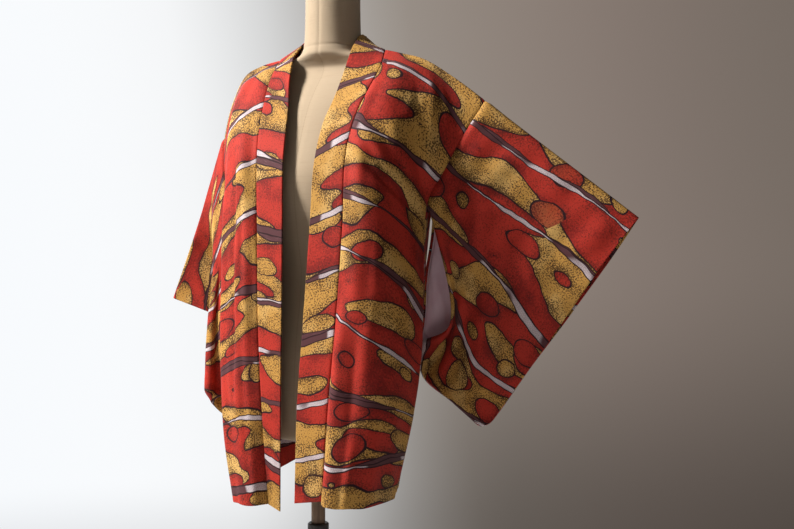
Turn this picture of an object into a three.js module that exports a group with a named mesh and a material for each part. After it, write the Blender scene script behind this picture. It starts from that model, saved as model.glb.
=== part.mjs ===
// Short kimono jacket (haori) hanging open on a limbless dress form with a round floor stand.
// Millimetres, +Z up. The jacket faces -Y and the wearer's left is +X.
import * as THREE from 'three';

// driving dimensions
const clothWall = 1.6;
const bandWall = 3;
const liningWall = 1.2;
const seamGap = 0.2;
const bodyLength = 800;
const armholeDepth = 203;
const sleeveDrop = 475;
const sleeveWidth = 340;
const liningInset = 11;
const foldRadius = 3;
const cuffRadius = 1.3;
const cornerRadius = 28;
const formClearance = 5;
const neckTop = 1530;
const formBottom = 712;
const poleRadius = 12.5;
const collarRadius = 19;
const tubeRadius = 15;
const collarLow = 530;
const collarHigh = 556;
const baseRadius = 190;
const baseThick = 14;

// materials
const materials = {
  print: new THREE.MeshStandardMaterial({ name: 'print', color: 0xb0472f, roughness: 0.8 }),
  lining: new THREE.MeshStandardMaterial({ name: 'lining', color: 0xe0b4c2, roughness: 0.5 }),
  linen: new THREE.MeshStandardMaterial({ name: 'linen', color: 0xd6c29e, roughness: 0.9 }),
  wood: new THREE.MeshStandardMaterial({ name: 'wood', color: 0x8a6a4c, roughness: 0.6 }),
  black: new THREE.MeshStandardMaterial({ name: 'black', color: 0x1c1b1b, roughness: 0.5 }),
};

// distance below the shoulder fold of every row of cloth, in mm
const upperRows = [0, 2, 6, 16, 35, 60, 90, 120, 150, 178, armholeDepth];
const lowerRows = [218, 240, 270, 310, 355, 400, 450, 500, 550, 600, 650, 700, 745, 780, bodyLength];
const sleeveLowerRows = [218, 240, 270, 305, 340, 375, 410, 440, 459, 469, 473, sleeveDrop];
const panelRows = [...upperRows, ...lowerRows];
const sleeveRows = [...upperRows, ...sleeveLowerRows];

// front panels: one row of points at each distance down, from the band seam out to the side
const frontKnots = [0, 0.25, 0.5, 0.75, 1];
const netDown = [0, 70, 140, armholeDepth, 330, 480, 640, bodyLength];
const frontLeft = {
  seam: [[112, 46, 1404], [129, -10, 1360], [112, -60, 1278], [104, -84, 1205],
    [106, -98, 1090], [97, -103, 940], [83, -106, 785], [70, -104, 621]],
  inner: [[152, 42, 1392.4], [162, -12, 1350], [142, -62, 1268], [138, -86, 1196],
    [140, -98, 1086], [134, -106, 936], [118, -113, 782], [104, -124, 616]],
  middle: [[196, 40, 1377], [203, 2, 1328], [178, -46, 1250], [168, -66, 1180],
    [173, -76, 1076], [171, -86, 926], [153, -98, 777], [129, -108, 616]],
  outer: [[250, 46, 1341], [238, 18, 1290], [210, -14, 1220], [194, -28, 1155],
    [198, -34, 1046], [195, -42, 900], [179, -54, 762], [148, -50, 613]],
  side: [[303, 50, 1300], [270, 32, 1241], [238, 22, 1180], [208, 20, 1125],
    [204, 15, 1006], [201, 12, 868], [183, 8, 740], [151, 5, 612]],
};
const frontRight = {
  seam: [[-112, 46, 1404], [-98, -10, 1356], [-82, -64, 1275], [-73, -88, 1205],
    [-65, -99, 1085], [-60, -104, 935], [-51, -106, 780], [-38, -104, 606]],
  inner: [[-150, 42, 1396], [-134, -14, 1350], [-118, -68, 1270], [-108, -92, 1200],
    [-99, -106, 1078], [-95, -113, 930], [-84, -119, 776], [-62, -126, 604]],
  middle: [[-186, 38, 1378], [-172, -4, 1332], [-155, -50, 1252], [-142, -73, 1182],
    [-133, -88, 1055], [-131, -94, 915], [-121, -102, 765], [-94, -110, 603]],
  outer: [[-216, 42, 1331], [-204, 12, 1270], [-189, -14, 1192], [-176, -32, 1128],
    [-168, -40, 1012], [-168, -43, 885], [-159, -48, 745], [-128, -62, 600]],
  side: [[-236, 45, 1266], [-227, 30, 1197], [-214, 21, 1129], [-203, 18, 1070],
    [-202, 17, 960], [-202, 20, 845], [-194, 14, 720], [-160, -8, 597]],
};

// back panels: from the centre back seam out to the side
const backKnots = [0, 0.17, 0.36, 0.6, 0.8, 1];
const neckShare = backKnots[2];
const backLeft = {
  centre: [[0, 124, 1402], [0, 143, 1335], [0, 150, 1265], [0, 152, 1200],
    [0, 149, 1078], [0, 148, 932], [0, 156, 786], [0, 170, 645]],
  blade: [[66, 103, 1409], [70, 144, 1345], [75, 152, 1268], [72, 154, 1200],
    [66, 152, 1078], [60, 152, 932], [48, 158, 784], [36, 168, 643]],
  neck: [[112, 46, 1404], [132, 122, 1352], [137, 140, 1264], [130, 142, 1195],
    [116, 142, 1072], [105, 143, 926], [86, 149, 779], [68, 155, 636]],
  tip: [[196, 40, 1377], [206, 90, 1322], [192, 110, 1242], [172, 113, 1177],
    [152, 116, 1057], [140, 117, 912], [118, 123, 767], [95, 123, 626]],
  outer: [[250, 46, 1341], [247, 80, 1287], [222, 92, 1214], [192, 86, 1153],
    [170, 91, 1036], [159, 88, 891], [141, 92, 752], [115, 88, 616]],
  side: [[303, 50, 1300], [272, 72, 1244], [238, 74, 1185], [200, 56, 1128],
    [180, 66, 1010], [174, 62, 870], [159, 58, 740], [131, 52, 612]],
};
const backRight = {
  centre: backLeft.centre,
  blade: [[-66, 103, 1409], [-70, 144, 1345], [-75, 152, 1268], [-72, 156, 1200],
    [-68, 156, 1076], [-66, 158, 930], [-60, 166, 784], [-48, 176, 645]],
  neck: [[-112, 46, 1404], [-130, 122, 1352], [-136, 141, 1262], [-132, 146, 1190],
    [-122, 149, 1064], [-119, 153, 920], [-110, 159, 776], [-93, 166, 643]],
  tip: [[-186, 38, 1378], [-192, 90, 1316], [-182, 110, 1220], [-174, 120, 1152],
    [-165, 124, 1032], [-162, 129, 896], [-152, 134, 762], [-131, 136, 636]],
  outer: [[-216, 42, 1331], [-218, 78, 1258], [-209, 90, 1172], [-196, 92, 1112],
    [-189, 94, 995], [-190, 98, 867], [-181, 100, 742], [-155, 96, 620]],
  side: [[-236, 45, 1266], [-230, 68, 1197], [-217, 66, 1130], [-203, 56, 1072],
    [-203, 66, 960], [-205, 70, 845], [-197, 66, 724], [-168, 54, 605]],
};

// soft vertical and slanting folds: start and end as [share across, mm down], width and height in mm
const foldTables = {
  frontLeft: [
    { from: [0.5, 20], to: [0.98, 190], width: 13, height: 5 },
    { from: [0.3, 110], to: [0.98, 225], width: 14, height: 5 },
    { from: [0.72, 300], to: [0.6, 800], width: 20, height: 4 },
    { from: [0.14, 560], to: [0.18, 800], width: 12, height: 5 },
  ],
  frontRight: [
    { from: [0.5, 60], to: [0.62, 800], width: 15, height: 7 },
    { from: [0.2, 200], to: [0.2, 800], width: 13, height: -5 },
    { from: [0.3, 40], to: [0.9, 260], width: 13, height: 4 },
  ],
  backLeft: [
    { from: [0.14, 180], to: [0.16, 800], width: 16, height: 7 },
    { from: [0.36, 120], to: [0.36, 800], width: 15, height: -6 },
    { from: [0.56, 220], to: [0.56, 800], width: 17, height: 7 },
    { from: [0.82, 40], to: [0.95, 260], width: 15, height: 4 },
  ],
  backRight: [
    { from: [0.15, 200], to: [0.17, 800], width: 16, height: 7 },
    { from: [0.36, 160], to: [0.35, 800], width: 16, height: -6 },
    { from: [0.56, 190], to: [0.58, 800], width: 17, height: 8 },
    { from: [0.8, 330], to: [0.8, 800], width: 14, height: -4 },
  ],
};

// free edge of the collar band at distances down the front from the shoulder
const bandDown = [0, 25, 70, 105, 140, 203, 330, 480, 640, bodyLength];
const bandEdgeLeft = [[57, 38, 1426], [61, 12, 1402], [63, -26, 1345], [58, -46, 1305], [49, -66, 1262],
  [46, -90, 1192], [44, -101, 1082], [34, -105, 930], [24, -109, 780], [17, -106, 613]];
const bandEdgeRight = [[-57, 38, 1426], [-58, 10, 1400], [-45, -26, 1345], [-33, -46, 1305],
  [-24, -68, 1262], [-14, -94, 1192], [-10, -102, 1080], [-9, -106, 930], [-9, -109, 776], [-12, -106, 596]];
// round the neck from the shoulder point (0) to the nape (1)
const napeShare = [0, 0.2, 0.5, 0.75, 1];
const bandCrest = [[-28, -4, 12], [-20, -2, 18], [-17, -2, 26], [-8, -2, 42], [0, -4, 45]];
const bandFall = [[-55, -8, 22], [-39, -3, 32], [-33, -1, 35], [0, 12, 27], [0, 13, 24]];

// sleeves: distance down at each knot, from the sleeve seam or open inner edge to the cuff
const sleeveDown = [0, 95, 203, 335, 418, sleeveDrop];
const sleeveLeft = {
  across: [0, 0.33, 0.67, 1],
  frontOpen: [[208, 20, 1125], [216, 42, 1064], [223, 62, 1006],
    [224, 84, 938], [205, 104, 902], [146, 124, 880]],
  backOpen: [[202, 57, 1127], [181, 90, 1066], [159, 112, 1000],
    [149, 126, 932], [145, 130, 904], [146, 124, 880]],
  frontNear: [[385, 70, 1233], [330, 50, 1158], [272, 40, 1070],
    [240, 86, 960], [202, 122, 884], [140, 142, 813]],
  frontFar: [[470, 90, 1164], [414, 76, 1089], [352, 76, 1000],
    [286, 98, 892], [238, 116, 820], [206, 130, 769]],
  frontCuff: [[552, 110, 1097], [496, 98, 1022], [432, 108, 936],
    [356, 118, 834], [306, 122, 767], [272, 124, 722]],
  backNear: [[385, 70, 1233], [332, 92, 1160], [264, 98, 1074],
    [226, 124, 958], [190, 150, 880], [140, 142, 813]],
  backFar: [[470, 90, 1164], [414, 110, 1091], [350, 114, 1002],
    [282, 134, 890], [236, 142, 820], [206, 130, 769]],
  backCuff: [[552, 110, 1097], [496, 124, 1022], [432, 124, 936],
    [356, 118, 834], [306, 122, 767], [272, 124, 722]],
};
const sleeveRight = {
  across: [0, 0.25, 0.6, 1],
  frontOpen: [[-203, 18, 1070], [-212, 20, 1008], [-217, 22, 940],
    [-218, 28, 862], [-218, 34, 810], [-217, 42, 776]],
  backOpen: [[-203, 56, 1072], [-215, 58, 1010], [-220, 60, 940],
    [-220, 62, 862], [-219, 56, 810], [-217, 42, 776]],
  frontNear: [[-271, 49, 1188], [-254, 30, 1090], [-238, 14, 985],
    [-246, 14, 872], [-250, 18, 804], [-252, 24, 753]],
  frontFar: [[-320, 54, 1074], [-262, 84, 1036], [-240, 112, 985],
    [-248, 122, 860], [-248, 122, 766], [-238, 120, 692]],
  frontCuff: [[-376, 60, 953], [-294, 86, 921], [-246, 158, 886],
    [-222, 216, 788], [-202, 230, 705], [-188, 232, 645]],
  backNear: [[-271, 49, 1188], [-244, 66, 1100], [-226, 68, 988],
    [-229, 72, 870], [-239, 52, 804], [-252, 24, 753]],
  backFar: [[-320, 54, 1074], [-246, 106, 1044], [-214, 132, 978],
    [-220, 138, 855], [-228, 132, 766], [-238, 120, 692]],
  backCuff: [[-376, 60, 953], [-284, 108, 926], [-230, 172, 888],
    [-222, 216, 788], [-202, 230, 705], [-188, 232, 645]],
};
const openDown = [203, 260, 320, 390, 430, sleeveDrop];

// dress form sections: height, half width, front y and back y
const formSections = [
  [712, 138, -66, 120], [718, 146, -74, 128], [740, 152, -80, 132], [800, 152, -82, 134],
  [880, 136, -76, 118], [1000, 110, -58, 98], [1080, 121, -72, 110], [1170, 135, -82, 130],
  [1240, 139, -60, 136], [1300, 144, -34, 132], [1340, 158, -6, 116], [1362, 172, 12, 96],
  [1378, 160.8, 18, 85.4], [1388, 126, 12, 86], [1395, 92, 4, 98], [1402, 66, -2, 104],
  [1414, 56, -1, 105], [1440, 52, 1, 103], [1530, 50, 2, 102],
];

// small vector helpers on plain arrays
const add = (a, b) => [a[0] + b[0], a[1] + b[1], a[2] + b[2]];
const sub = (a, b) => [a[0] - b[0], a[1] - b[1], a[2] - b[2]];
const scale = (a, k) => [a[0] * k, a[1] * k, a[2] * k];
const dot = (a, b) => a[0] * b[0] + a[1] * b[1] + a[2] * b[2];
const cross = (a, b) => [a[1] * b[2] - a[2] * b[1], a[2] * b[0] - a[0] * b[2], a[0] * b[1] - a[1] * b[0]];
const length = (a) => Math.sqrt(dot(a, a));
const unit = (a) => {
  const size = length(a);
  return size > 1e-9 ? scale(a, 1 / size) : [0, 0, 0];
};
const mix = (a, b, k) => add(scale(a, 1 - k), scale(b, k));
const clamp = (x, low, high) => Math.min(Math.max(x, low), high);
const ramp = (x, low, high) => {
  const t = clamp((x - low) / (high - low), 0, 1);
  return t * t * (3 - 2 * t);
};

// smooth curve through points given at increasing knots
function curveAt(knots, points, x) {
  const last = knots.length - 1;
  let i = 0;
  while (i < last - 1 && x > knots[i + 1]) {
    i += 1;
  }
  const slope = (k) => {
    const a = Math.max(k - 1, 0);
    const b = Math.min(k + 1, last);
    return scale(sub(points[b], points[a]), 1 / (knots[b] - knots[a]));
  };
  const span = knots[i + 1] - knots[i];
  const t = clamp((x - knots[i]) / span, 0, 1);
  const t2 = t * t;
  const t3 = t2 * t;
  const ends = add(scale(points[i], 2 * t3 - 3 * t2 + 1), scale(points[i + 1], 3 * t2 - 2 * t3));
  const pulls = add(scale(slope(i), (t3 - 2 * t2 + t) * span), scale(slope(i + 1), (t3 - t2) * span));
  return add(ends, pulls);
}

// form outline at a height
function formAt(z) {
  const rows = formSections;
  const heights = rows.map((row) => row[0]);
  const values = rows.map((row) => [row[1], row[2], row[3]]);
  const [half, front, back] = curveAt(heights, values, clamp(z, rows[0][0], rows[rows.length - 1][0]));
  return { half, middle: (front + back) / 2, deep: (back - front) / 2 };
}

// move a cloth point out until it clears the form
function clearForm(point) {
  if (point[2] > 1385 || point[2] < formBottom) {
    return point;
  }
  const { half, middle, deep } = formAt(point[2]);
  const a = half + formClearance;
  const b = deep + formClearance;
  const f = Math.hypot(point[0] / a, (point[1] - middle) / b);
  if (f >= 1 || f < 1e-6) {
    return point;
  }
  return [point[0] / f, middle + (point[1] - middle) / f, point[2]];
}

// height of the folds of one panel at a share across and a distance down
function foldHeight(folds, u, v, panelWidth) {
  let total = 0;
  for (const fold of folds) {
    const ax = fold.from[0] * panelWidth;
    const bx = fold.to[0] * panelWidth;
    const run = [bx - ax, fold.to[1] - fold.from[1]];
    const size = run[0] * run[0] + run[1] * run[1];
    const t = ((u * panelWidth - ax) * run[0] + (v - fold.from[1]) * run[1]) / size;
    const near = clamp(t, 0, 1);
    const off = Math.hypot(u * panelWidth - ax - near * run[0], v - fold.from[1] - near * run[1]);
    const fade = ramp(t, 0, 0.3) * (fold.to[1] >= bodyLength ? 1 : ramp(1 - t, 0, 0.25));
    total += fold.height * fade * Math.exp(-((off / fold.width) ** 2));
  }
  return total;
}

// how far each layer stands off the top fold, so that the fold is round
function roundOff(distance, radius) {
  const rim = clamp(distance / radius, 0, 1);
  return radius * Math.sqrt(1 - (1 - rim) ** 2);
}

// surface through a net of columns, with its folds added along the normal
function netSurface(net, knots, folds, panelWidth, outward) {
  const columns = Object.values(net);
  const plain = (u, v) => curveAt(knots, columns.map((column) => curveAt(netDown, column, v)), u);
  return (u, v) => {
    const point = plain(u, v);
    const across = sub(plain(Math.min(u + 0.02, 1), v), plain(Math.max(u - 0.02, 0), v));
    const down = sub(plain(u, Math.min(v + 4, bodyLength)), plain(u, Math.max(v - 4, 0)));
    const normal = scale(unit(cross(down, across)), outward);
    const fade = ramp(u, 0, 0.06) * ramp(1 - u, 0, 0.06);
    const rounded = roundOff(v, foldRadius) * ramp(u, 0.62, 0.95) * (1 - ramp(v, 30, 110));
    return clearForm(add(point, scale(normal, foldHeight(folds, u, v, panelWidth) * fade + rounded)));
  };
}

// the jacket's panels, one pair a side
function makeSide(frontNet, backNet, frontFolds, backFolds, hand) {
  const front = netSurface(frontNet, frontKnots, frontFolds, 190, hand);
  const backNetSurface = netSurface(backNet, backKnots, backFolds, 270, -hand);
  // the back shares the shoulder fold with the front
  const back = (u, v) => {
    const point = backNetSurface(u, v);
    if (u <= neckShare || v >= 70) {
      return point;
    }
    const shared = front((u - neckShare) / (1 - neckShare), 0);
    const miss = sub(shared, backNetSurface(u, 0));
    return add(point, scale(miss, (1 - v / 70) ** 2));
  };
  return { front, back, hand };
}
const leftSide = makeSide(frontLeft, backLeft, foldTables.frontLeft, foldTables.backLeft, 1);
const rightSide = makeSide(frontRight, backRight, foldTables.frontRight, foldTables.backRight, -1);

// place on the flat sleeve, with its lower outer corner drawn in to an arc
function cornerPlace(s, v) {
  const a = cornerRadius - (1 - s) * sleeveWidth;
  const b = cornerRadius - (sleeveDrop - v);
  if (a <= 0 || b <= 0) {
    return [s, v];
  }
  const pull = Math.max(a, b) / Math.hypot(a, b);
  return [1 - (cornerRadius - a * pull) / sleeveWidth, sleeveDrop - (cornerRadius - b * pull)];
}

// sleeve layers: a front and a back surface that meet at the top fold and the bottom
function makeSleeve(table, side) {
  const plainOf = (openEdge, near, far, cuff, seam) => (s, v) => {
    const edge = v <= armholeDepth ? seam(1, v) : curveAt(openDown, openEdge, v);
    const columns = [near, far, cuff].map((column) => curveAt(sleeveDown, column, v));
    return curveAt(table.across, [edge, ...columns], s);
  };
  const frontPlain = plainOf(table.frontOpen, table.frontNear, table.frontFar, table.frontCuff, side.front);
  const backPlain = plainOf(table.backOpen, table.backNear, table.backFar, table.backCuff, side.back);
  const layer = (plain, other, outward) => (s, v) => {
    const across = sub(plain(Math.min(s + 0.03, 1), v), plain(Math.max(s - 0.03, 0), v));
    const down = sub(plain(s, Math.min(v + 12, sleeveDrop)), plain(s, Math.max(v - 12, 0)));
    const normal = scale(unit(cross(down, across)), outward);
    const sewn = ramp(s, 0.8, 1) * ramp(v, 215, 290);
    const limit = foldRadius + (cuffRadius - foldRadius) * sewn;
    const plump = limit * roundOff(Math.min(v, sleeveDrop - v), foldRadius) / foldRadius * ramp(s, 0, 0.03);
    const inCorner = cornerRadius * 1.4 - Math.max((1 - s) * sleeveWidth, sleeveDrop - v);
    const shared = 0.5 * ramp(inCorner, 0, cornerRadius * 0.4);
    const [sideways, downward] = cornerPlace(s, v);
    const own = plain(sideways, downward);
    const place = add(own, scale(sub(other(sideways, downward), own), shared));
    return add(place, scale(normal, plump));
  };
  const front = layer(frontPlain, backPlain, side.hand);
  const back = layer(backPlain, frontPlain, -side.hand);
  return { front, back };
}
const leftSleeve = makeSleeve(sleeveLeft, leftSide);
const rightSleeve = makeSleeve(sleeveRight, rightSide);

// grids of points, flipped where needed so that every face looks outward
function gridOf(rows, columns, pointAt, flip) {
  const grid = rows.map((row) => columns.map((column) => pointAt(column, row)));
  return flip ? grid.map((line) => line.slice().reverse()) : grid;
}

// join grids into one list of points and four-sided faces
function joinGrids(grids) {
  const points = [];
  const found = new Map();
  const faces = [];
  const indexOf = (point) => {
    const key = point.map((value) => Math.round(value * 100)).join(',');
    if (!found.has(key)) {
      found.set(key, points.length);
      points.push(point);
    }
    return found.get(key);
  };
  for (const grid of grids) {
    const indexes = grid.map((line) => line.map(indexOf));
    for (let i = 0; i + 1 < indexes.length; i += 1) {
      for (let j = 0; j + 1 < indexes[i].length; j += 1) {
        const face = [indexes[i][j], indexes[i + 1][j], indexes[i + 1][j + 1], indexes[i][j + 1]];
        const clean = face.filter((value, n) => value !== face[(n + 1) % 4]);
        if (clean.length > 2) {
          faces.push(clean);
        }
      }
    }
  }
  return { points, faces };
}

// columns of each panel
const frontColumns = [0, 0.06, 0.14, 0.22, 0.31, 0.4, 0.5, 0.6, 0.7, 0.79, 0.87, 0.94, 1];
const neckColumns = [0, 0.05, 0.11, 0.17, 0.23, 0.295];
const backColumns = [...neckColumns, ...frontColumns.map((u) => neckShare + u * (1 - neckShare))];
const sleeveColumns = [0, 0.03, 0.14, 0.24, 0.34, 0.45, 0.56, 0.67, 0.78, 0.88, 0.92, 0.96, 1];
const gussetColumns = [0, 0.33, 0.67, 1];
const bandColumns = [0, 0.25, 0.5, 0.75, 1];

// body piece: front and back in one length over the shoulder
function bodyPiece(side) {
  const isLeft = side.hand > 0;
  return joinGrids([
    gridOf(panelRows, frontColumns, side.front, !isLeft),
    gridOf(panelRows, backColumns, side.back, isLeft),
  ]);
}

// side gusset between the front and back side edges, slightly hollow
function gussetPiece(side) {
  const pointAt = (k, v) => {
    const a = side.front(1, v);
    const b = side.back(1, v);
    const inward = [-side.hand * 0.9, 0, 0];
    const hollow = 4 * Math.sin(Math.PI * k) * ramp(v, armholeDepth, 420);
    return add(mix(a, b, k), scale(inward, hollow));
  };
  return joinGrids([gridOf(lowerRows, gussetColumns, pointAt, side.hand < 0)]);
}

// collar band from hem to nape to hem
function bandPiece() {
  const stations = [];
  const station = (seam, crest, fall, roll) => stations.push({ seam, crest, fall, roll });
  const flatStation = (side, edge, v) => {
    const seam = side.front(0, v);
    const free = curveAt(bandDown, edge, v);
    station(seam, mix(seam, free, 0.5), free, 0);
  };
  const neckStation = (side, u) => {
    const seam = side.back(u, 0);
    const share = 1 - u / neckShare;
    const hand = [side.hand, 1, 1];
    const crestShift = curveAt(napeShare, bandCrest, share).map((value, n) => value * hand[n]);
    const fallShift = curveAt(napeShare, bandFall, share).map((value, n) => value * hand[n]);
    station(seam, add(seam, crestShift), add(seam, fallShift), ramp(share, 0, 0.5));
  };
  [...panelRows].reverse().forEach((v) => flatStation(leftSide, bandEdgeLeft, v));
  [...neckColumns].reverse().forEach((u) => neckStation(leftSide, u));
  neckColumns.slice(1).forEach((u) => neckStation(rightSide, u));
  panelRows.forEach((v) => flatStation(rightSide, bandEdgeRight, v));
  const grid = stations.map(({ seam, crest, fall, roll }) => bandColumns.map((k) => {
    const straight = mix(seam, fall, k);
    // curve that rises to the crest and falls to the free edge
    const lower = add(scale(seam, (1 - k) * (1 - 2 * k)), scale(crest, 4 * k * (1 - k)));
    const lift = add(lower, scale(fall, k * (2 * k - 1)));
    return mix(straight, lift, roll);
  }));
  return joinGrids([grid]);
}

// sleeve tube: front layer and back layer joined at the top fold and at the bottom
function sleevePiece(sleeve, hand) {
  return joinGrids([
    gridOf(sleeveRows, sleeveColumns, sleeve.front, hand < 0),
    gridOf(sleeveRows, sleeveColumns, sleeve.back, hand > 0),
  ]);
}

// lining sheet on the inside of the back layer, near the open inner edge
function liningPiece(shell, sleeve, hand) {
  const rows = sleeveRows.filter((v) => v >= 218 && v <= 440);
  const columns = sleeveColumns.filter((s) => s * sleeveWidth > liningInset - 4 && s < 0.7);
  const stand = clothWall / 2 + liningWall / 2 + 1;
  const pointAt = (s, v) => {
    const point = sleeve.back(s, v);
    const key = point.map((value) => Math.round(value * 100)).join(',');
    return add(point, scale(shell.get(key), -stand));
  };
  return joinGrids([gridOf(rows, columns, pointAt, hand > 0)]);
}

// normals shared by every piece that meets at a seam
function shareNormals(pieces) {
  const sums = new Map();
  for (const { points, faces } of pieces) {
    for (const face of faces) {
      const a = points[face[0]];
      const b = points[face[1]];
      const c = points[face[2]];
      const d = points[face[face.length - 1]];
      const normal = cross(sub(c, a), sub(d, b));
      const normalOf = face.length === 3 ? cross(sub(b, a), sub(c, a)) : normal;
      const weight = unit(normalOf);
      for (const index of face) {
        const key = points[index].map((value) => Math.round(value * 100)).join(',');
        sums.set(key, add(sums.get(key) || [0, 0, 0], weight));
      }
    }
  }
  for (const [key, sum] of sums) {
    sums.set(key, unit(sum));
  }
  return sums;
}

// half the gap at a seam, wider at the corners where three pieces meet
const tightCorners = [frontLeft.side[0], frontRight.side[0], frontLeft.seam[0], frontRight.seam[0]];
function gapAt(point) {
  const nearest = Math.min(...tightCorners.map((corner) => length(sub(point, corner))));
  return seamGap + 0.9 * (1 - clamp(nearest / 34, 0, 1));
}

// give a joined sheet its wall and close it all round
function thicken(piece, normals, wall) {
  const { points, faces } = piece;
  const edgeUse = new Map();
  const inward = points.map(() => [0, 0, 0]);
  for (const face of faces) {
    const centre = scale(face.reduce((sum, index) => add(sum, points[index]), [0, 0, 0]), 1 / face.length);
    face.forEach((a, n) => {
      const b = face[(n + 1) % face.length];
      edgeUse.set(`${a}_${b}`, [a, b]);
      inward[a] = add(inward[a], unit(sub(centre, points[a])));
    });
  }
  const rim = [...edgeUse.values()].filter(([a, b]) => !edgeUse.has(`${b}_${a}`));
  const onRim = new Set(rim.flat());
  const outer = [];
  const inner = [];
  points.forEach((point, index) => {
    const key = point.map((value) => Math.round(value * 100)).join(',');
    const normal = normals.get(key);
    const pull = sub(inward[index], scale(normal, dot(inward[index], normal)));
    const base = onRim.has(index) ? add(point, scale(unit(pull), gapAt(point))) : point;
    outer.push(add(base, scale(normal, wall / 2)));
    inner.push(add(base, scale(normal, -wall / 2)));
  });
  const positions = [...outer, ...inner].flat();
  const indexes = [];
  const shift = points.length;
  for (const face of faces) {
    const triangles = face.length === 3 ? [face] : splitFace(face, points);
    for (const [a, b, c] of triangles) {
      indexes.push(a, b, c);
      indexes.push(shift + c, shift + b, shift + a);
    }
  }
  for (const [a, b] of rim) {
    indexes.push(b, a, shift + a);
    indexes.push(b, shift + a, shift + b);
  }
  return toGeometry(positions, indexes);
}

// split a four-sided face along its shorter diagonal
function splitFace(face, points) {
  const [a, b, c, d] = face;
  const first = length(sub(points[a], points[c]));
  const second = length(sub(points[b], points[d]));
  return first <= second ? [[a, b, c], [a, c, d]] : [[a, b, d], [b, c, d]];
}

function toGeometry(positions, indexes) {
  const geometry = new THREE.BufferGeometry();
  geometry.setAttribute('position', new THREE.Float32BufferAttribute(positions, 3));
  geometry.setIndex(indexes);
  geometry.computeVertexNormals();
  return geometry;
}

// closed solid from rings of points stacked upward
function ringSolid(rings) {
  const count = rings[0].length;
  const positions = rings.flat(2);
  const indexes = [];
  for (let i = 0; i + 1 < rings.length; i += 1) {
    for (let j = 0; j < count; j += 1) {
      const k = (j + 1) % count;
      indexes.push(i * count + j, i * count + k, (i + 1) * count + k);
      indexes.push(i * count + j, (i + 1) * count + k, (i + 1) * count + j);
    }
  }
  const low = positions.length / 3;
  const centreOf = (ring) => scale(ring.reduce(add, [0, 0, 0]), 1 / ring.length);
  positions.push(...centreOf(rings[0]), ...centreOf(rings[rings.length - 1]));
  const top = (rings.length - 1) * count;
  for (let j = 0; j < count; j += 1) {
    const k = (j + 1) % count;
    indexes.push(k, j, low);
    indexes.push(top + j, top + k, low + 1);
  }
  return toGeometry(positions, indexes);
}

function ring(count, z, halfX, halfY, middleY) {
  return Array.from({ length: count }, (_, j) => {
    const angle = (2 * Math.PI * j) / count;
    return [halfX * Math.cos(angle), middleY + halfY * Math.sin(angle), z];
  });
}

// turned solid from a closed profile of [radius, height] pairs that keeps off the axis
function ringProfile(profile, count) {
  const positions = [];
  const indexes = [];
  const size = profile.length;
  for (let j = 0; j < count; j += 1) {
    const angle = (2 * Math.PI * j) / count;
    profile.forEach(([r, z]) => positions.push(r * Math.cos(angle), r * Math.sin(angle), z));
  }
  for (let j = 0; j < count; j += 1) {
    const next = (j + 1) % count;
    for (let i = 0; i < size; i += 1) {
      const up = (i + 1) % size;
      indexes.push(j * size + i, next * size + i, next * size + up);
      indexes.push(j * size + i, next * size + up, j * size + up);
    }
  }
  return toGeometry(positions, indexes);
}

function addMesh(group, name, geometry, material) {
  const mesh = new THREE.Mesh(geometry, material);
  mesh.name = name;
  group.add(mesh);
}

function build() {
  const group = new THREE.Group();
  group.name = 'kimono_jacket_on_form';
  const pieces = {
    body_left: bodyPiece(leftSide),
    body_right: bodyPiece(rightSide),
    collar: bandPiece(),
    gusset_left: gussetPiece(leftSide),
    gusset_right: gussetPiece(rightSide),
    sleeve_left: sleevePiece(leftSleeve, 1),
    sleeve_right: sleevePiece(rightSleeve, -1),
  };
  const normals = shareNormals(Object.values(pieces));
  for (const [name, piece] of Object.entries(pieces)) {
    const wall = name === 'collar' ? bandWall : clothWall;
    addMesh(group, name, thicken(piece, normals, wall), materials.print);
  }
  const linings = {
    sleeve_left_lining: liningPiece(normals, leftSleeve, 1),
    sleeve_right_lining: liningPiece(normals, rightSleeve, -1),
  };
  for (const [name, piece] of Object.entries(linings)) {
    addMesh(group, name, thicken(piece, shareNormals([piece]), liningWall), materials.lining);
  }
  const formHeights = [712, 716, 724, 745, 775, 810, 850, 895, 945, 1000, 1040, 1080, 1125, 1170, 1205,
    1240, 1275, 1305, 1332, 1352, 1366, 1377, 1385, 1392, 1398, 1404, 1412, 1426, 1450, neckTop - 8];
  const formRings = formHeights.map((z) => {
    const { half, middle, deep } = formAt(z);
    return ring(32, z, half, deep, middle);
  });
  addMesh(group, 'dress_form', ringSolid(formRings), materials.linen);
  const capProfile = [[neckTop - 8, 51], [neckTop - 1, 51], [neckTop, 49]];
  const capRings = capProfile.map(([z, r]) => ring(32, z, r, r, 52));
  addMesh(group, 'neck_cap', ringSolid(capRings), materials.wood);
  const poleRings = [collarLow, formBottom].map((z) => ring(24, z, poleRadius, poleRadius, 0));
  addMesh(group, 'pole', ringSolid(poleRings), materials.wood);
  const collarProfile = [[poleRadius + 0.3, collarLow], [collarRadius, collarLow],
    [collarRadius, collarHigh - 2], [collarRadius - 2, collarHigh], [poleRadius + 0.3, collarHigh]];
  addMesh(group, 'pole_collar', ringProfile(collarProfile, 24), materials.black);
  const tubeRings = [baseThick, collarLow].map((z) => ring(24, z, tubeRadius, tubeRadius, 0));
  addMesh(group, 'stand_tube', ringSolid(tubeRings), materials.black);
  const baseProfile = [[0, baseRadius - 1], [1, baseRadius], [7, baseRadius], [10, baseRadius - 3], [baseThick, 60]];
  const baseRings = baseProfile.map(([z, r]) => ring(48, z, r, r, 0));
  addMesh(group, 'base', ringSolid(baseRings), materials.black);
  return group;
}

export default build();
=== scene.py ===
import math

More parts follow.
